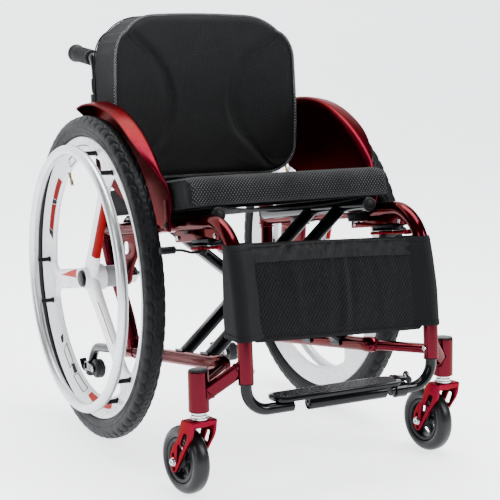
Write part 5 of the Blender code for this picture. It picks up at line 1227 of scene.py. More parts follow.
def antiTipper(tag, s):
    lugEnd = footRear - frames["lugLong"]
    x, y, z = s * tipper["x"], tipper["y"], tipper["z"]
    start, straight = (inPlane(s * chair["footX"], lugEnd + step, 0) for step in (0.024, -0.02))
    bend = np.array((x, y + 0.014, footZ(y + 0.014) - 0.001))
    low = np.array((x, tipper["end"], z - 0.021))
    curve = bezier(
        straight + (bend - straight) * 0.86, bend, low + (bend - low) * 0.75, low + (bend - low) * 0.42, 22
    )
    path = np.concatenate([[start], np.linspace(straight, curve[0], 8)[:-1], curve, [low]])
    shells = [tube(path, tipper["radius"], 30, backWay)]
    stud = [(0, 0), (0, 0.003), (0.0008, 0.0038), (0.003, 0.0038), (0.0036, 0.003), (0.0036, 0)]
    studAt = inPlane(s * chair["footX"], lugEnd - 0.01, 0.0086)
    shells.append(turned(stud, studAt, aboveWay, 24))
    lever = [
        (x, tipper["end"] + out, low[2] + up) for out, up in ((-0.004, 0.008), (0.024, 0.005), (0.042, 0.024))
    ]
    shells.append(tube(smoothLine(lever, 12), 0.008, 24, (0, 0.3, 1), 0.0034, 0.0006, 0.7))
    root = tipper["end"] - 0.006
    cheek = [(root, z + 0.008), (root, z - 0.008), (y, z - 0.0078), (y - 0.007, z - 0.004)]
    cheek += [(y - 0.007, z + 0.004), (y, z + 0.0078)]
    cheek = softened(cheek, (0.001, 0.001, 0.004, 0.004, 0.004, 0.004), True, 5)
    shells += [plate(cheek, [], 0.0015, 0.0005, standing, (x + side * 0.0125, 0, 0)) for side in (-1, 1)]
    shells.append(block((x - 0.014, root - 0.016, z - 0.008), (x + 0.014, root, z + 0.008), 0.0012))
    shells.append(rod((x - 0.015, y, z), (x + 0.015, y, z), 0.0029, 20))
    addPiece(f"tipper_tube_{tag}", shells, glossBlack, f"tipper_{tag}", f"anti_tipper_{tag}")
    heads = [boltHead((x + side * 0.014, y, z), (side, 0, 0), 0.005, 0.0015) for side in (-1, 1)]
    heads.append(turned(stud, studAt + aboveWay * 0.0002, aboveWay, 24))
    addPiece(f"tipper_screws_{tag}", heads, steel, f"tipper_{tag}", (), 28)
    r = tipper["wheel"]
    profile = [(-0.01, 0.0034), (-0.01, 0.0075), (-0.0088, 0.0085), (-0.0088, r - 0.0075)]
    profile += [(-0.01, r - 0.006), (-0.01, r - 0.0038), (-0.007, r - 0.0004), (-0.005, r)]
    profile = softened(profile + [(-x, r) for x, r in profile[::-1]], 0.0006, True, 2)
    roller = turned(profile, (x, y, z), acrossWay, 48, True)
    addPiece(f"tipper_roller_{tag}", roller, blackRubber, f"tipper_wheel_{tag}", f"anti_tipper_wheel_{tag}")


# Cross brace: the lower tubes, the slanting tubes with their saddles, the rails and the centre bolt

brace = {
    "wide": 0.03, "thick": 0.02, "left": (0.178, 0.285), "right": (0.145, 0.252), "rail": (-0.016, 0.38),
    "railRadius": 0.012, "footTube": (-0.028, 0.335), "saddleTurn": 1.02, "saddleHalf": 0.0155,
    "bolt": 0.0049,
}


def footTube(tag, s):
    a, b = (inPlane(s * chair["footX"], along, 0) for along in brace["footTube"])
    long = np.linalg.norm(b - a)
    r = chair["tube"]
    profile = [
        (0, 0.0054), (0, r - 0.0012), (0.0008, r), (long - 0.0008, r), (long, r - 0.0012), (long, 0.0054),
    ]
    body = "brace_left_body" if tag == "right" else "brace_right_body"
    addPiece(f"lower_tube_{tag}", turned(profile, a, b - a, 40, True), candyRed, body, f"foot_tube_{tag}")


def crossBrace(tag, s):
    railX = -s * chair["footX"]
    rear, front = (inPlane(railX, along, railAbove) for along in brace["rail"])
    body = f"brace_{tag}_body"
    rr = brace["railRadius"]
    shells = [rod(rear, front, rr, 36, 0.0008)]
    slant = unit(acrossWay * -2 * s * chair["footX"] + aboveWay * railAbove)
    across = np.cross(slant, alongWay)

    # The saddle's section is an arc over the lower tube and its inner arc back, drawn in a little at the ends
    arc = np.linspace(-brace["saddleTurn"], brace["saddleTurn"], 28)
    arc = np.concatenate([arc, arc[::-1]])
    half, long = brace["wide"] / 2, brace["saddleHalf"]
    ends = ((-long, 0.0005), (0.0006 - long, 0), (long - 0.0006, 0), (long, 0.0005))
    for along in brace[tag]:
        foot, head = inPlane(s * chair["footX"], along, 0), inPlane(railX, along, railAbove)
        bar = [foot + slant * (chair["tube"] + 0.0012), head - slant * 0.004]
        shells.append(tube(bar, half, 36, across, brace["thick"] / 2, 0.0004, 0.62))
        rows = []
        for step, less in ends:
            reach = chair["tube"] + np.repeat((0.0042 - less, 0.0004 + less), 28)[:, None]
            around = np.sin(arc)[:, None] * across + np.cos(arc)[:, None] * slant
            rows.append(foot + alongWay * step + reach * around)
        shells.append(gridShell(np.stack(rows)))
        shells.append(
            weld(foot + slant * (chair["tube"] + 0.004), slant, half - 0.0002, 0.0017, 0.64, across)
        )
        shells.append(weld(head - slant * (rr + 0.0012), slant, half - 0.0006, 0.0016, 0.62, across))
    addPiece(f"brace_tubes_{tag}", shells, glossBlack, body, f"cross_brace_{tag}")

    # Moulded plugs in the rail's ends, the front one with a raised round face
    plug = [(0, 0), (0, rr + 0.0006), (0.0012, rr + 0.0012), (0.0042, rr + 0.0012), (0.0052, rr + 0.0002)]
    plug += [(0.0056, rr - 0.003), (0.005, rr - 0.0042), (0.0054, rr - 0.0056), (0.0058, 0.003), (0.0058, 0)]
    plugs = [turned(plug, end - way * 0.002, way, 36) for end, way in ((front, alongWay), (rear, -alongWay))]
    addPiece(f"rail_plugs_{tag}", plugs, blackPlastic, body, (), 30)


def braceBolt():
    middle = railAbove / 2
    stations = brace["left"] + brace["right"]
    front, rear = max(stations) + brace["wide"] / 2, min(stations) - brace["wide"] / 2
    shells = [rod(inPlane(0, rear - 0.01, middle), inPlane(0, front + 0.006, middle), brace["bolt"])]
    shells.append(boltHead(inPlane(0, front + 0.0003, middle), alongWay, 0.0095, 0.0076, 32))
    shells.append(boltHead(inPlane(0, rear - 0.0003, middle), -alongWay, 0.0095, 0.0076, 6, False))
    addPiece("centre_bolt", shells, steel, "brace_left_body", "brace_bolt", 28)


# Footrest

foot = {
    "hangerRadius": 0.0095, "y": -0.4921, "z": frontLow - 0.047, "bend": 0.04, "stub": 0.094, "near": -0.128,
    "far": 0.118,
    "thick": 0.008, "front": -0.507, "rear": -0.455, "pivotX": 0.138, "lift": 0.0025, "cant": 28.0,
    "barRadius": 0.011,
    "bar": (-0.066, 0.084), "grooves": 9, "corner": 0.024,
}


def hanger(tag, s):
    body, y, z, r = f"{tag}_frame", foot["y"], foot["z"], foot["hangerRadius"]
    x, bend, outer = chair["frontX"], foot["bend"], chair["tube"]
    k = np.linspace(0, np.pi / 2, 22)
    arc = np.stack([s * (x - bend + bend * np.cos(k)), np.full(22, y), z + bend * (1 - np.sin(k))], 1)
    path = [(s * x, y, frontLow + 0.026), (s * x, y, frontLow - 0.002), *arc, (s * foot["stub"], y, z)]
    addPiece(f"hanger_tube_{tag}", tube(path, r, 32, backWay), glossBlack, body, f"footrest_hanger_{tag}")
    lip = [
        (0, r + 0.0005), (0, outer - 0.0006), (0.0008, outer + 0.0002), (0.0022, outer + 0.0002),
        (0.0026, r + 0.0005),
    ]
    lip = turned(lip, (s * x, y, frontLow - 0.0022), upWay, 36, True)
    addPiece(f"tube_lip_{tag}", lip, blackPlastic, body)
    screw = boltHead((s * (x - outer - 0.0002), y + 0.0006, frontLow + 0.018), (-s, 0, 0), 0.0042, 0.0026)
    addPiece(f"hanger_screw_{tag}", screw, steel, body, (), 28)


def footplate():
    x0, x1, y0, y1, y, z = (foot[key] for key in ("near", "far", "front", "rear", "y", "z"))
    low, half = z + foot["hangerRadius"] + 0.0003, foot["thick"] / 2
    high = low + foot["thick"]
    middle = np.array((foot["pivotX"], (y0 + y1) / 2, low + half + foot["lift"]))
    cant = math.radians(foot["cant"])
    axis = np.array((math.sin(cant), math.cos(cant), 0))
    inward = np.array((-math.cos(cant), math.sin(cant), 0))
    corners = softened([(x0, y0), (x1, y0), (x1, y1), (x0, y1)], foot["corner"], True, 14)
    shells = [plate(corners, [], half - 0.0006, 0.0016, lying, (0, 0, low + half - 0.0006))]

    # Ribs along the plate's top, each as long as its rounded ends let it be
    pitch = (y1 - y0 - 0.014) / foot["grooves"]
    for k in range(foot["grooves"] + 1):
        ribY = y0 + 0.007 + k * pitch
        offMiddle = abs(2 * ribY - y0 - y1) / (y1 - y0)
        inset = 0.008 + foot["corner"] * (1 - math.sqrt(1 - offMiddle**2))
        line = np.linspace((x0 + inset, ribY, high - 0.0012), (x1 - inset, ribY, high - 0.0012), 4)
        shells.append(tube(line, pitch * 0.34, 14, upWay, 0.0011, 0.0008))
    turn = np.array((inward, axis, upWay)).T
    shells.append(
        block((0.002, -0.012, -0.0045), (0.03, 0.012, high - middle[2] - 0.0004), 0.001, turn, middle)
    )
    shells.append(turned(drum(-0.0165, 0.0165, 0.0045, 0.0007, 0.0027), middle, axis, 28, True))
    (start, end), r = foot["bar"], foot["barRadius"]
    long = end - start
    bar = [(0, 0), (0, 0.005), (0.003, 0.0056), (0.003, r - 0.0022), (0, r - 0.0014)]
    bar += [(0.0004, r - 0.0004), (0.0012, r), (long - 0.0012, r), (long, r - 0.0012), (long, 0)]
    shells.append(turned(bar, (start, y, z), acrossWay, 36))
    shells.append(block((start, y - 0.008, z), (end, y + 0.008, low + 0.001), 0.001))
    addPiece("footplate_board", shells, glossBlack, "footplate_body", "footplate")

    collar = drum(0, 0.022, foot["hangerRadius"] + 0.0038, 0.0009, foot["hangerRadius"] + 0.0004)
    shells = [turned(collar, (x1 - 0.016, y, z), acrossWay, 36, True)]
    earAt = 0.0193
    eyes = [middle + axis * earAt * side for side in (-1, 1)]
    ear = [
        (-0.0025, 0.0025), (-0.0025, 0.0048), (-0.0018, 0.0056), (0.0018, 0.0056), (0.0025, 0.0048),
        (0.0025, 0.0025),
    ]
    shells += [turned(ear, eye, axis, 28, True) for eye in eyes]
    root = np.array((x1 + 0.001, y, z))
    front = [root + (0, -0.007, 0.005), eyes[0] + (-0.0015, -0.0005, -0.0085), eyes[0] - (0, 0, 0.002)]
    rear = [root + (0, 0.009, 0.003), root + (0.014, 0.023, 0.003), eyes[1] + axis * 0.001 - (0, 0, 0.0045)]
    shells.append(tube(smoothLine(front, 10), 0.0026, 18, backWay))
    shells.append(tube(smoothLine(rear, 10), 0.0024, 18, upWay))
    shells.append(rod(middle - axis * (earAt + 0.004), middle + axis * (earAt + 0.004), 0.0023, 20))
    addPiece("hinge_bracket", shells, glossBlack, "left_frame", "footplate_bracket")


for tag, s in sides:
    caster(tag, s)
    sideGuard(tag, s)
    backPost(tag, s)
    brakes(tag, s)
    antiTipper(tag, s)
    footTube(tag, s)
    hanger(tag, s)
    crossBrace("left" if s < 0 else "right", s)
braceBolt()
footplate()
print("casters, guards, handles, brakes, tippers, brace and footrest placed")


# Soft pieces. The cloth's map holds metres across the face that each face of the mesh looks along.

def mapCloth(mesh, ways, pairs):
    corners = np.empty(len(mesh.loops), int)
    mesh.loops.foreach_get("vertex_index", corners)
    points = np.empty(len(mesh.vertices) * 3)
    mesh.vertices.foreach_get("co", points)
    normals, total = np.empty(len(mesh.polygons) * 3), np.empty(len(mesh.polygons), int)
    mesh.polygons.foreach_get("normal", normals)
    mesh.polygons.foreach_get("loop_total", total)
    points, normals = points.reshape(-1, 3)[corners], normals.reshape(-1, 3)
    main = np.repeat(np.abs(normals @ ways.T).argmax(1), total)
    uv = np.einsum("nk,njk->nj", points, pairs[main])
    mesh.uv_layers.new(name="cloth").data.foreach_set("uv", uv.astype(np.float32).ravel())


upright = np.array((acrossWay, backWay, upWay))
alongSeat = np.array((acrossWay, alongWay, aboveWay))
uprightPairs = np.array(((backWay, upWay), (acrossWay, upWay), (acrossWay, backWay)))
overFront = alongWay - aboveWay
seatPairs = np.array(((alongWay, aboveWay), (acrossWay, overFront), (acrossWay, overFront)))


def addCloth(name, shells, material, body, nodes=(), seatwise=False, smooth=0, sharp=60):
    thing = addPiece(name, shells, material, body, nodes, sharp)
    mapCloth(thing.data, *((alongSeat, seatPairs) if seatwise else (upright, uprightPairs)))
    if smooth:
        change = thing.modifiers.new("smooth", "SUBSURF")
        change.levels = change.render_levels = smooth
    return thing


def gridFaces(index):
    return np.stack([index[:-1, :-1], index[1:, :-1], index[1:, 1:], index[:-1, 1:]], -1).reshape(-1, 4)


# Two equal grids joined round their edges: a cloth with a front and a back
def between(front, back):
    n, m = front.shape[:2]
    near = np.arange(n * m).reshape(n, m)
    far = near + n * m
    faces = [gridFaces(near)[:, (0, 3, 2, 1)], gridFaces(far)]
    rim = [np.concatenate([g[0, :-1], g[:-1, -1], g[-1, :0:-1], g[:0:-1, 0]]) for g in (near, far)]
    faces.append(np.stack([rim[0], rim[1], np.roll(rim[1], -1), np.roll(rim[0], -1)], -1))
    points = np.concatenate([front.reshape(-1, 3), back.reshape(-1, 3)])
    return facingOut(points, np.concatenate(faces), np.empty((0, 3), int))


# A cloth of this thickness about a grid, along the grid's own normals
def clothShell(grid, thick):
    rows, columns = np.gradient(grid, axis=(0, 1))
    normal = unit(np.cross(rows, columns))
    return between(grid + normal * thick / 2, grid - normal * thick / 2)


# The surface of a block of cells, as points (u, v, w) from -1 to 1 and four-sided faces that look out
def padGrid(u, v, w):
    points, faces, start, lines = [], [], 0, (u, v, w)
    for axis in range(3):
        a, b = (axis + 1) % 3, (axis + 2) % 3
        for side in (-1.0, 1.0):
            p, q = np.meshgrid(lines[a], lines[b], indexing="ij")
            spots = np.empty(p.shape + (3,))
            spots[..., axis], spots[..., a], spots[..., b] = side, p, q
            quads = gridFaces(np.arange(p.size).reshape(p.shape) + start)
            faces.append(quads if side > 0 else quads[:, ::-1])
            points.append(spots.reshape(-1, 3))
            start += p.size
    points = np.concatenate(points)
    found, back = np.unique(np.round(points, 5), axis=0, return_inverse=True)
    return found, back.reshape(-1)[np.concatenate(faces)]


# Blows the pad up a little as cloth: held points stay, and no point goes further than the cap
def puffed(points, quads, held, pressure, cap, steps=20):
    scene = bpy.context.scene
    mesh = bpy.data.meshes.new("puff")
    mesh.from_pydata(points.tolist(), [], quads.tolist())
    thing = bpy.data.objects.new("puff", mesh)
    scene.collection.objects.link(thing)
    group = thing.vertex_groups.new(name="held")
    group.add(np.flatnonzero(held).tolist(), 1.0, "REPLACE")
    cloth = thing.modifiers.new("puff", "CLOTH")
    settings = cloth.settings
    settings.quality, settings.mass = 6, 0.3
    settings.tension_stiffness = settings.compression_stiffness = 12
    settings.bending_stiffness = 0.6
    settings.use_pressure, settings.uniform_pressure_force = True, pressure
    settings.vertex_group_mass = "held"
    settings.effector_weights.gravity = 0
    cloth.point_cache.frame_start, cloth.point_cache.frame_end = 1, steps
    for step in range(1, steps + 1):
        scene.frame_set(step)
    seen = thing.evaluated_get(bpy.context.evaluated_depsgraph_get())
    moved = np.empty(len(points) * 3)
    seen.data.vertices.foreach_get("co", moved)
    moved = moved.reshape(-1, 3)
    scene.frame_set(1)
    bpy.data.objects.remove(thing)
    bpy.data.meshes.remove(mesh)
    shift = moved - points
    size = np.linalg.norm(shift, axis=1, keepdims=True)
    print("puffed by up to", round(float(size.max()) * 1000, 1), "mm")
    return points + shift * np.minimum(1, cap / np.maximum(size, 1e-9))


# A row of stitches beside a seam: short beads along a path
def stitches(path, pitch=0.0042, radius=0.00045):
    path = np.asarray(path, float)
    steps = np.linalg.norm(np.diff(path, axis=0), axis=1)
    length = np.concatenate([[0], np.cumsum(steps)])
    starts = np.arange(0.001, length[-1] - pitch, pitch)
    along = starts[:, None] + pitch * np.array((0, 0.35, 0.7))
    beads = np.stack([np.interp(along, length, path[:, k]) for k in range(3)], -1)
    return [tube(bead, radius, 6, (0.3, 0.5, 0.8), None, 0.0002) for bead in beads]


seat = {
    "half": 0.2, "thick": 0.056, "front": -0.344, "rear": 0.052, "corner": 0.02, "roll": 0.026,
    "sling": 0.0025,
    "sag": 0.01, "slingEdge": 0.008, "cell": 0.0066, "puff": 0.005, "pressure": 3.2,
}


def seatSling():
    base = railAbove + brace["railRadius"] + 0.0003
    edge, inner = chair["footX"] + seat["slingEdge"], chair["footX"] - brace["railRadius"]
    x = np.concatenate([[-edge, -edge + 0.002], np.linspace(-inner, inner, 60), [edge - 0.002, edge]])
    along = np.linspace(brace["rail"][0] + 0.004, brace["rail"][1] - 0.004, 60)
    sag = seat["sag"] * np.clip(1 - (x / inner) ** 2, 0, None) ** 0.8
    wave = 0.0006 * np.sin(along[:, None] * 70 + 2 * np.sin(x * 30))
    grid = np.zeros((60, len(x), 3)) + inPlane(0, 0, 0)
    grid += acrossWay * x[None, :, None] + alongWay * along[:, None, None]
    grid += aboveWay * (
        base + seat["sling"] / 2 - sag[None, :] - wave * (sag[None, :] / seat["sag"])
    )[..., None]
    shell = clothShell(grid, seat["sling"] * 0.92)
    sling = addCloth("seat_sling_cloth", shell, blackCloth, "seat", "seat_sling", seatwise=True)
    seams = ((5, 1), (-6, 1), (5, -1), (7, -1), (-6, -1), (-8, -1))
    rows = [grid[:, k] + aboveWay * side * 0.0014 for k, side in seams]
    seam = addCloth("seat_sling_seams", [b for row in rows for b in stitches(row)], thread, "seat")
    return [sling, seam]


# How much nearer a pad's points come to the middle of a rounded edge, from how far they are past it each way
def drawnIn(a, b):
    share = np.maximum(a, b) / np.maximum(np.hypot(a, b), 1e-9)
    return np.where((a > 0) & (b > 0), share, 1)


# Rounds the corners of a pad seen from its front: x and y past the corners' middles are drawn in to a circle
def rounded(x, y, halfX, halfY, corner):
    overX, overY = np.abs(x) - halfX + corner, np.abs(y) - halfY + corner
    share = drawnIn(overX, overY)
    return np.sign(x) * (halfX - corner + overX * share), np.sign(y) * (halfY - corner + overY * share)


def seatCushion():
    base = railAbove + brace["railRadius"] + 0.0009 + seat["sling"]
    rear, front = ((aboveWay[1] * base - y) / math.cos(tilt) for y in (seat["rear"], seat["front"]))
    long, half = front - rear, seat["half"]
    counts = [max(3, int(round(d / seat["cell"])) + 1) for d in (2 * half, long, seat["thick"])]
    uvw, quads = padGrid(*(np.linspace(-1, 1, n) for n in counts))
    u, v, w = uvw.T

    # Corners seen from above are rounded, the top's edges fall off, and the walls draw in between the seams
    x, a = rounded(u * half, v * long / 2, half, long / 2, seat["corner"])
    top, roll = (w + 1) / 2, seat["roll"]
    ahead, above = a - long / 2 + roll, seat["thick"] * (top - 1) + roll
    share = drawnIn(ahead, above)
    a, rise = long / 2 - roll + ahead * share, seat["thick"] - roll + above * share
    fromSide, fromRear = half - np.abs(u * half), (v + 1) * long / 2
    fall = 0.01 * np.clip(1 - fromSide / 0.022, 0, None) ** 2
    fall += 0.008 * np.clip(1 - fromRear / 0.024, 0, None) ** 2
    crown = 0.0035 * np.cos(np.pi / 2 * u) * np.cos(np.pi / 2 * v)
    dip = 0.003 * bump(x, 0.1) * bump(v - 0.1, 0.6)
    height = base + 0.0006 + rise - (fall - crown + dip) * top
    wall = np.maximum(np.abs(u), np.abs(v)) > 0.999
    drawn = np.where(wall, 0.0022 * (1 - np.sin(np.pi * top)), 0.0) * (v < 0.999)
    x, a = x - np.sign(x) * drawn * (np.abs(u) > 0.999), a - np.sign(a) * drawn * (np.abs(v) > 0.999)
    ways = np.array((acrossWay, alongWay, aboveWay))
    points = inPlane(0, 0, 0) + np.stack([x, a + (front + rear) / 2, height], 1) @ ways
    edges = wall & (np.abs(w) > 0.999) & ((v < 0.999) | (w < 0))
    uprights = (np.abs(u) > 0.999) & (np.abs(v) > 0.999)
    points = puffed(points, quads, edges | uprights | (w < -0.99), seat["pressure"], seat["puff"])
    shell = (points, quads, np.empty((0, 3), int))
    cushion = addCloth("seat_cushion_pad", shell, seatMesh, "seat", "seat_cushion", True, 1, 70)
    cushion.data.materials.append(sideCloth)
    plain = (np.abs(u[quads]) > 0.999).all(1) | (v[quads] < -0.999).all(1) | (w[quads] < -0.999).all(1)
    cushion.data.polygons.foreach_set("material_index", plain.astype(np.int32))

    # Seams: along the side walls' edges, and down the front corners
    trims = []
    for side in (-1, 1):
        for level in (-1, 1):
            line = np.flatnonzero((np.abs(u - side) < 1e-4) & (np.abs(w - level) < 1e-4))
            line = points[line[np.argsort(v[line])]]
            trims.append(tube(smoothLine(line[1:-1:3], 6) - aboveWay * 0.0003, 0.0013, 10, aboveWay))
        line = np.flatnonzero((v > 0.999) & (np.abs(u - side) < 1e-4))
        line = points[line[np.argsort(w[line])]]
        trims.append(tube(smoothLine(line[:-1], 3), 0.0013, 10, alongWay))
    seams = addCloth("seat_cushion_seams", trims, sideCloth, "seat", seatwise=True)
    return [cushion, seams]


# A closed ring of cord through these points
def turnedLoop(points, radius, sides=10):
    way = unit(np.roll(points, -1, 0) - np.roll(points, 1, 0))
    side = unit(np.cross(way, points - points.mean(0)))
    turn = 2 * np.pi * np.arange(sides)[:, None] / sides
    ring = side[:, None] * np.cos(turn) + np.cross(way, side)[:, None] * np.sin(turn)
    return gridShell(points[:, None] + radius * ring, True)


backRest = {
    "half": 0.191, "low": 0.485, "high": 0.8, "frontY": -0.012, "hollow": 0.043, "cell": 0.0062,
    "seamAt": 0.44,
    "puff": 0.0065, "pressure": 3.6, "piping": 0.0026, "groove": 0.0093, "corners": (0.088, 0.054),
    "channel": (
        (0.478, 0.166), (0.5, 0.142), (0.545, 0.102), (0.575, 0.078), (0.62, 0.065), (0.66, 0.068),
        (0.71, 0.092),
        (0.757, 0.148), (0.79, 0.186),
    ),
}


def slingY(z):
    return postY(z) - posts["radius"] - 0.0006


# Distance of the sewn channel from the middle at each height
def channelX(z):
    fine = smoothLine(backRest["channel"], 12)
    order = np.argsort(fine[:, 0])
    return np.interp(z, fine[order, 0], fine[order, 1])


def backCushion():
    half, low, high = backRest["half"], backRest["low"], backRest["high"]
    halfZ, middleZ = (high - low) / 2, (high + low) / 2
    counts = [
        int(round(2 * half / backRest["cell"] / 2)) * 2 + 1, int(round(2 * halfZ / backRest["cell"])) + 1, 9,
    ]
    uLine = np.linspace(-1, 1, counts[0])
    knee = uLine[np.abs(uLine - backRest["seamAt"]).argmin()]
    uvw, quads = padGrid(uLine, np.linspace(-1, 1, counts[1]), np.linspace(-1, 1, counts[2]))
    u, v, w = uvw.T
    z = v * halfZ
    seamX = channelX(z + middleZ)
    share = np.abs(u)
    x = np.where(share <= knee, share / knee * seamX, seamX + (share - knee) / (1 - knee) * (half - seamX))
    x = np.where(seamX > half, share * half, x) * np.sign(u)

    # Round corners, wider ones at the top, and sides that belly out at mid height
    rim = np.minimum(1 - np.abs(x) / half, 1 - np.abs(z) / halfZ)
    x, z = rounded(x, z, half, halfZ, np.where(v > 0, *backRest["corners"]))
    x = x * (1 + 0.018 * bump(z + 0.035, 0.09) - 0.012 * np.clip(v, 0, 1) ** 2)
    z = z - 0.012 * np.clip(v, 0, 1) ** 5 * (x / half) ** 2
    height = middleZ + z
    edgeIn = 0.009 * np.clip(1 - np.clip(rim, 0, None) / 0.09, 0, None) ** 2
    crown = 0.004 * np.sin(np.pi / 2 * np.clip(rim / 0.5, 0, 1))
    hollow = backRest["frontY"] + backRest["hollow"] * (1 - (x / half) ** 2)
    offSeam = np.abs(np.abs(x) - channelX(height))
    groove = backRest["groove"] * bump(offSeam, 0.0085) * np.clip(rim / 0.1, 0, 1)
    front = hollow + edgeIn - crown + groove
    rear = slingY(height) - seat["sling"] - 0.0008 - 0.5 * edgeIn
    y = front + (rear - front) * (w + 1) / 2
    wall = np.maximum(np.abs(u), np.abs(v)) > 0.999
    onSeam = (np.abs(share - knee) < 1e-4) & (w < -0.999) & (np.abs(z) < halfZ - 0.012)
    points = np.stack([x, y, height], 1)
    held = (wall & (np.abs(w) > 0.999)) | onSeam | (w > 0.99)
    points = puffed(points, quads, held, backRest["pressure"], backRest["puff"])
    shell = (points, quads, np.empty((0, 3), int))
    cushion = addCloth("back_cushion_pad", shell, backMesh, "right_frame", "back_cushion", False, 1, 70)
    cushion.data.materials.append(sideCloth)
    plain = (w[quads] > -0.999).any(1)
    cushion.data.polygons.foreach_set("material_index", plain.astype(np.int32))

    def edgeLoop(side):
        ring = np.flatnonzero(wall & (w * side > 0.999))
        return points[ring[np.argsort(np.arctan2(v[ring], u[ring]))]]

    loop = edgeLoop(-1) + (0, -0.0006, 0)
    outward = unit((loop - loop.mean(0)) * (1, 0, 1))
    cord = turnedLoop(loop - outward * 0.0006, backRest["piping"], 14)
    piping = addCloth("back_cushion_piping", cord, pipingGrey, "right_frame")
    trims = []
    for side in (-1, 1):
        line = np.flatnonzero(onSeam & (np.sign(u) == side))
        line = points[line[np.argsort(v[line])]]
        trims.append(tube(smoothLine(line, 3) + (0, -0.0001, 0), 0.0008, 8, backWay))
    trims.append(turnedLoop(edgeLoop(1) + outward * 0.0004, 0.0014))
    seams = addCloth("back_cushion_seams", trims, thread, "right_frame")
    return [cushion, piping, seams]


# The sling on the fronts of the back posts, with a sleeve round each post
def backSling():
    z = np.linspace(backRest["low"] - 0.02, posts["top"] - 0.012, 40)
    x = np.linspace(-chair["frameX"] + 0.004, chair["frameX"] - 0.004, 60)
    y = slingY(z)[:, None] - seat["sling"] / 2 - 0.0007 * np.sin(
        x * 55 + z[:, None] * 12
    ) * (1 - (x / 0.18) ** 2)
    grid = np.stack(np.broadcast_arrays(x[None], y, z[:, None]), -1)
    shell = clothShell(grid, seat["sling"] * 0.85)
    sling = addCloth("back_sling_cloth", shell, blackCloth, "right_frame", "back_sling")
    line = np.linspace(z[0] + 0.004, z[-1] - 0.004, 30)
    rows = [np.stack([np.full(30, side * 0.15), slingY(line) + 0.0004, line], 1) for side in (-1, 1)]
    seams = addCloth("back_sling_seams", [b for row in rows for b in stitches(row)], thread, "right_frame")
    for tag, s in sides:
        sleeves = []
        for a, b in ((z[0], posts["clampZ"] - 0.014), (posts["clampZ"] + 0.014, z[-1])):
            line = np.linspace(a, b, 26)
            turn = np.linspace(-1.2 * np.pi / 2, np.pi * 1.1, 28)
            r = posts["radius"] + 0.0012 + 0.0003 * np.sin(line * 210)
            middle = np.stack([np.full(26, s * chair["frameX"]), postY(line), line], 1)
            ring = s * acrossWay * np.cos(turn)[:, None] + backWay * np.sin(turn)[:, None]
            sleeves.append(clothShell(middle[:, None] + r[:, None, None] * ring, 0.0011))
        addCloth(f"post_sleeve_{tag}", sleeves, blackCloth, f"{tag}_frame")
    return [sling, seams]


strap = {
    "low": (0.068, 0.058), "high": (0.218, 0.208), "cloth": 0.0014, "pocketHalf": 0.167, "flap": 0.142,
    "back": 0.004,
    "creases": (
        (0.003, 0.05, 0.05, 0.05), (-0.0016, 0.13, 0.04, 0.05), (0.0016, -0.42, -0.1, 0.05),
        (0.0013, 0.55, -0.08, 0.07),
    ),
}


# Each end of the calf strap goes round its front tube. The tube bows forward under the strap's top, and the
# cloth hangs straight, so the loop is looser behind towards the bottom.
def strapEnd(tag, s):
    low, high = (frontLow + strap[end][s > 0] for end in ("low", "high"))
    line = frontTubeBetween(s, low, high, 40)
    r = chair["tube"] + 0.0014
    loose = (line[:, 1].max() - line[:, 1])[:, None]
    inner, back = strap["flap"] - chair["frontX"], strap["back"]
    start, stop = np.array(((inner, back - 0.0012), (inner, back + 0.006)))
    turns = (np.radians(np.linspace(*span)) for span in ((-116, 0, 18), (0, 104, 16)))
    fore, aft = (r * np.stack([np.cos(turn), np.sin(turn)], 1) for turn in turns)
    ease = np.linspace(0, 1, 12)[:, None]
    section = [start + (fore[0] - start) * ease[:-1], fore, aft, aft[-1] + (stop - aft[-1]) * ease[1:]]
    section = np.concatenate(section) * (s, 1)
    slack = np.concatenate([np.zeros(29), np.ones(16), 1 - ease[1:, 0]])
    wave = 0.0005 * np.sin(np.linspace(0, 14, 40))[:, None] * np.linspace(1, 0, len(section))
    belly = s * 0.0022 * np.sin(np.linspace(0.3, 2.8, 40))[:, None] * np.clip(section[:, 0] * s / r, 0, 1)
    grid = line[:, None] + np.stack(
        [section[:, 0] + belly, section[:, 1] + loose * slack - wave, 0 * wave], -1
    )
    shells = [clothShell(grid, strap["cloth"])]
    shells += [clothShell(hem, strap["cloth"] * 2) for hem in (grid[:3], grid[:-4:-1])]
    addCloth(f"strap_wrap_{tag}", shells, blackCloth, f"{tag}_frame")
    beads = [bead for k in (3, 36) for bead in stitches(grid[k], 0.0042, 0.001)]
    beads += [bead for k in (10, 12) for bead in stitches(grid[2:-2, k] + (0, -0.0007, 0), 0.0042, 0.0005)]
    addCloth(f"strap_stitches_{tag}", beads, thread, f"{tag}_frame")


# The front tubes' line at the strap, blended from the near side's to the far one's: rows down, columns across
def strapLine(share, below, above, count=40):
    lows, highs = frontLow + np.add(strap["low"], below), frontLow + np.add(strap["high"], above)
    near, far = (frontTubeBetween(1.0, low, high, count)[:, None] for low, high in zip(lows, highs))
    return near * (1 - share[:, None]) + far * share[:, None]


def strapPanel():
    half = chair["frontX"] - 0.02
    x = np.linspace(-half, half, 80)
    line = strapLine((x / half + 1) / 2, 0.0005, -0.0005)
    wave = 0.0006 * np.sin(x * 40)[None] * np.sin(np.linspace(0, np.pi, 40))[:, None]
    y = line[..., 1] + 1.5 * strap["back"] + wave
    grid = np.stack(np.broadcast_arrays(x[None], y, line[..., 2]), -1)
    panel = addCloth("strap_panel", clothShell(grid, 0.0024), blackCloth, "right_frame", "calf_strap")
    return [panel]


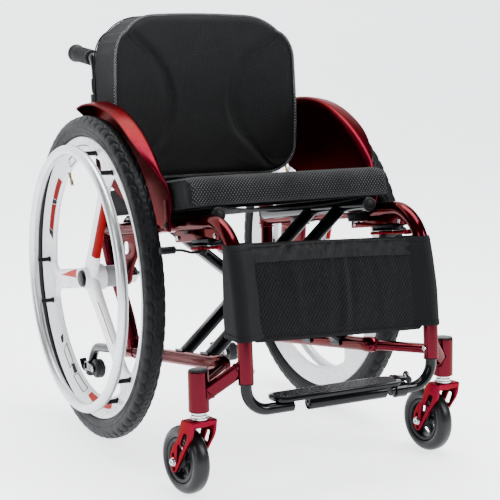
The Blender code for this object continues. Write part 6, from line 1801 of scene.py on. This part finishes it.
# The pocket's net hangs on the panel in long soft waves, under a gathered satin band, over a rolled hem
def strapPocket():
    rows, columns, half = 60, 150, strap["pocketHalf"]
    u = np.linspace(-1, 1, columns)
    line = strapLine((u + 1) / 2, (-0.005, -0.007), -0.004, rows)
    t = np.linspace(1, 0, rows)[:, None]
    edge = 1 - u**6
    belly = 0.0062 * np.sin(np.pi * (0.96 - 0.86 * t)) ** 0.7
    waves = 0.0009 * np.sin(6.1 * u + 1.3 + 1.6 * t) + 0.0005 * np.sin(17 * u - 5 * t)
    for deep, at, lean, wide in strap["creases"]:
        waves = waves + deep * bump(u - at - lean * t, wide)
    tight = 0.0005 * np.sin(58 * u + 5 * np.sin(4 * u)) * np.clip((t - 0.55) / 0.4, 0, 1)
    out = edge * (belly + (waves + tight) * np.sin(np.pi * np.clip(t, 0.02, 0.98)) ** 0.6) + 0.0012
    y = line[..., 1] + strap["back"] - 0.0003 - out
    corner = 0.02 * np.clip((np.abs(u) - 0.93) / 0.07, 0, 1) ** 2
    z = line[..., 2] + corner * (1 - t) * 0.6 - corner * t * 0.15 + 0.003 * np.sin(np.pi * (u + 1) / 2) * t
    front = np.stack(np.broadcast_arrays(u * half, y, z), -1)
    net = addCloth("pocket_net", clothShell(front, 0.001), netMesh, "right_frame", "strap_pocket")
    band = np.flatnonzero(t[:, 0] > 0.82)
    top = front[band]
    down = np.linspace(0, 1, len(band))[:, None]
    gather = 0.001 * np.sin(71 * u + 9 * np.sin(5 * u) + 3 * down)
    gather = gather + 0.0018 * np.sin(23 * u + 6 * down + 3 * np.sin(11 * u))
    lift = 0.0016 + 0.001 * np.sin(np.pi * down) + gather * np.sin(np.pi * np.clip(down, 0.08, 0.92)) ** 0.5
    satin = top - np.stack([0 * lift, lift, 0 * lift], -1)
    strip = addCloth("pocket_band", clothShell(satin, 0.0008), satinBand, "right_frame")
    trims = [tube(smoothLine(front[-2, ::6] + (0, -0.0006, 0.0012), 4), 0.003, 16, backWay, 0.0016)]
    trims += [tube(front[1:-1, k] + (0, -0.0006, 0), 0.0026, 14, acrossWay, 0.0014) for k in (1, -2)]
    trims.append(tube(smoothLine(satin[1, ::6] + (0, -0.0003, 0), 4), 0.0016, 12, backWay, 0.0011))
    hem = addCloth("pocket_hem", trims, blackCloth, "right_frame")
    return [net, strip, hem]


seatPieces = seatSling() + seatCushion()
print("seat made")
backPieces = backSling() + backCushion()
print("back made")
for tag, s in sides:
    strapEnd(tag, s)
panelPieces, pocketPieces = strapPanel(), strapPocket()
anchors = (
    (seatPieces, "seat", chair["footX"]), (backPieces, "back", -chair["frameX"]),
    (panelPieces, "strap", -chair["frontX"]), (pocketPieces, "pocket", -strap["pocketHalf"]),
)
for pieces, keep, x in anchors:
    for piece in pieces:
        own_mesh(piece)


# Studio: a pale floor that curves up into the backdrop, soft lights and the camera
def studio():
    floor = Look("studio floor", (0.86, 0.87, 0.89), 0.75)
    floor.shader.inputs["Emission Color"].default_value = (0.95, 0.97, 1.0, 1)
    floor.shader.inputs["Emission Strength"].default_value = 2.2
    floor.tint(floor.spread(floor.noise(0.7, 2), 0.35, 0.7, (0, 0.25)), (0.82, 0.84, 0.88))
    x = np.linspace(-9, 9, 24)
    turn = np.linspace(0, np.pi / 2, 16)
    y = np.concatenate([np.linspace(-7, 3.0, 30), 3.0 + 2.0 * np.sin(turn[1:]), [5.0, 5.0]])
    z = np.concatenate([np.zeros(30), 2.0 * (1 - np.cos(turn[1:])), [5.0, 9.0]])
    grid = np.stack(np.broadcast_arrays(x[None], y[:, None], z[:, None]), -1)
    quads = gridFaces(np.arange(grid[..., 0].size).reshape(grid.shape[:2]))[:, (0, 3, 2, 1)]
    mesh = bpy.data.meshes.new("studio_floor")
    mesh.from_pydata((grid.reshape(-1, 3) - (0, 0, 0.0004)).tolist(), [], quads.tolist())
    mesh.shade_smooth()
    mesh.materials.append(floor.material)
    thing = bpy.data.objects.new("studio_floor", mesh)
    bpy.context.scene.collection.objects.link(thing)

    world = bpy.data.worlds.new("studio")
    world.use_nodes = True
    world.node_tree.nodes["Background"].inputs["Color"].default_value = (0.96, 0.98, 1.0, 1)
    world.node_tree.nodes["Background"].inputs["Strength"].default_value = 0.2
    bpy.context.scene.world = world


def softbox(name, place, aim, size, power, colour=(1, 1, 1)):
    light = bpy.data.lights.new(name, "AREA")
    light.shape, light.size, light.size_y = "RECTANGLE", *size
    light.energy, light.color = power, colour
    thing = bpy.data.objects.new(name, light)
    thing.location = place
    thing.rotation_euler = (Vector(aim) - Vector(place)).to_track_quat("-Z", "Y").to_euler()
    bpy.context.scene.collection.objects.link(thing)


camera = {
    "place": (-1.080221, -2.24183, 0.67712), "turn": (82.21321, 0.91752, -27.66402), "lens": 91.3542,
    "sensor": 36.0,
}

studio()
softbox("overhead", (0.3, 0.1, 2.9), (0, 0, 0.4), (2.6, 1.6), 170)
softbox("left_front", (-2.7, -1.9, 1.7), (0, 0, 0.45), (0.8, 1.9), 46)
softbox("right_front", (2.1, -2.6, 2.1), (0, 0, 0.45), (0.7, 1.6), 90)
lens = bpy.data.cameras.new("photo_camera")
lens.lens, lens.sensor_width, lens.clip_start = camera["lens"], camera["sensor"], 0.05
viewer = bpy.data.objects.new("photo_camera", lens)
viewer.location = Vector(camera["place"]) + Vector((0, axleY, 0))
viewer.rotation_euler = [math.radians(a) for a in camera["turn"]]
bpy.context.scene.collection.objects.link(viewer)
bpy.context.scene.camera = viewer

print("scene finished")
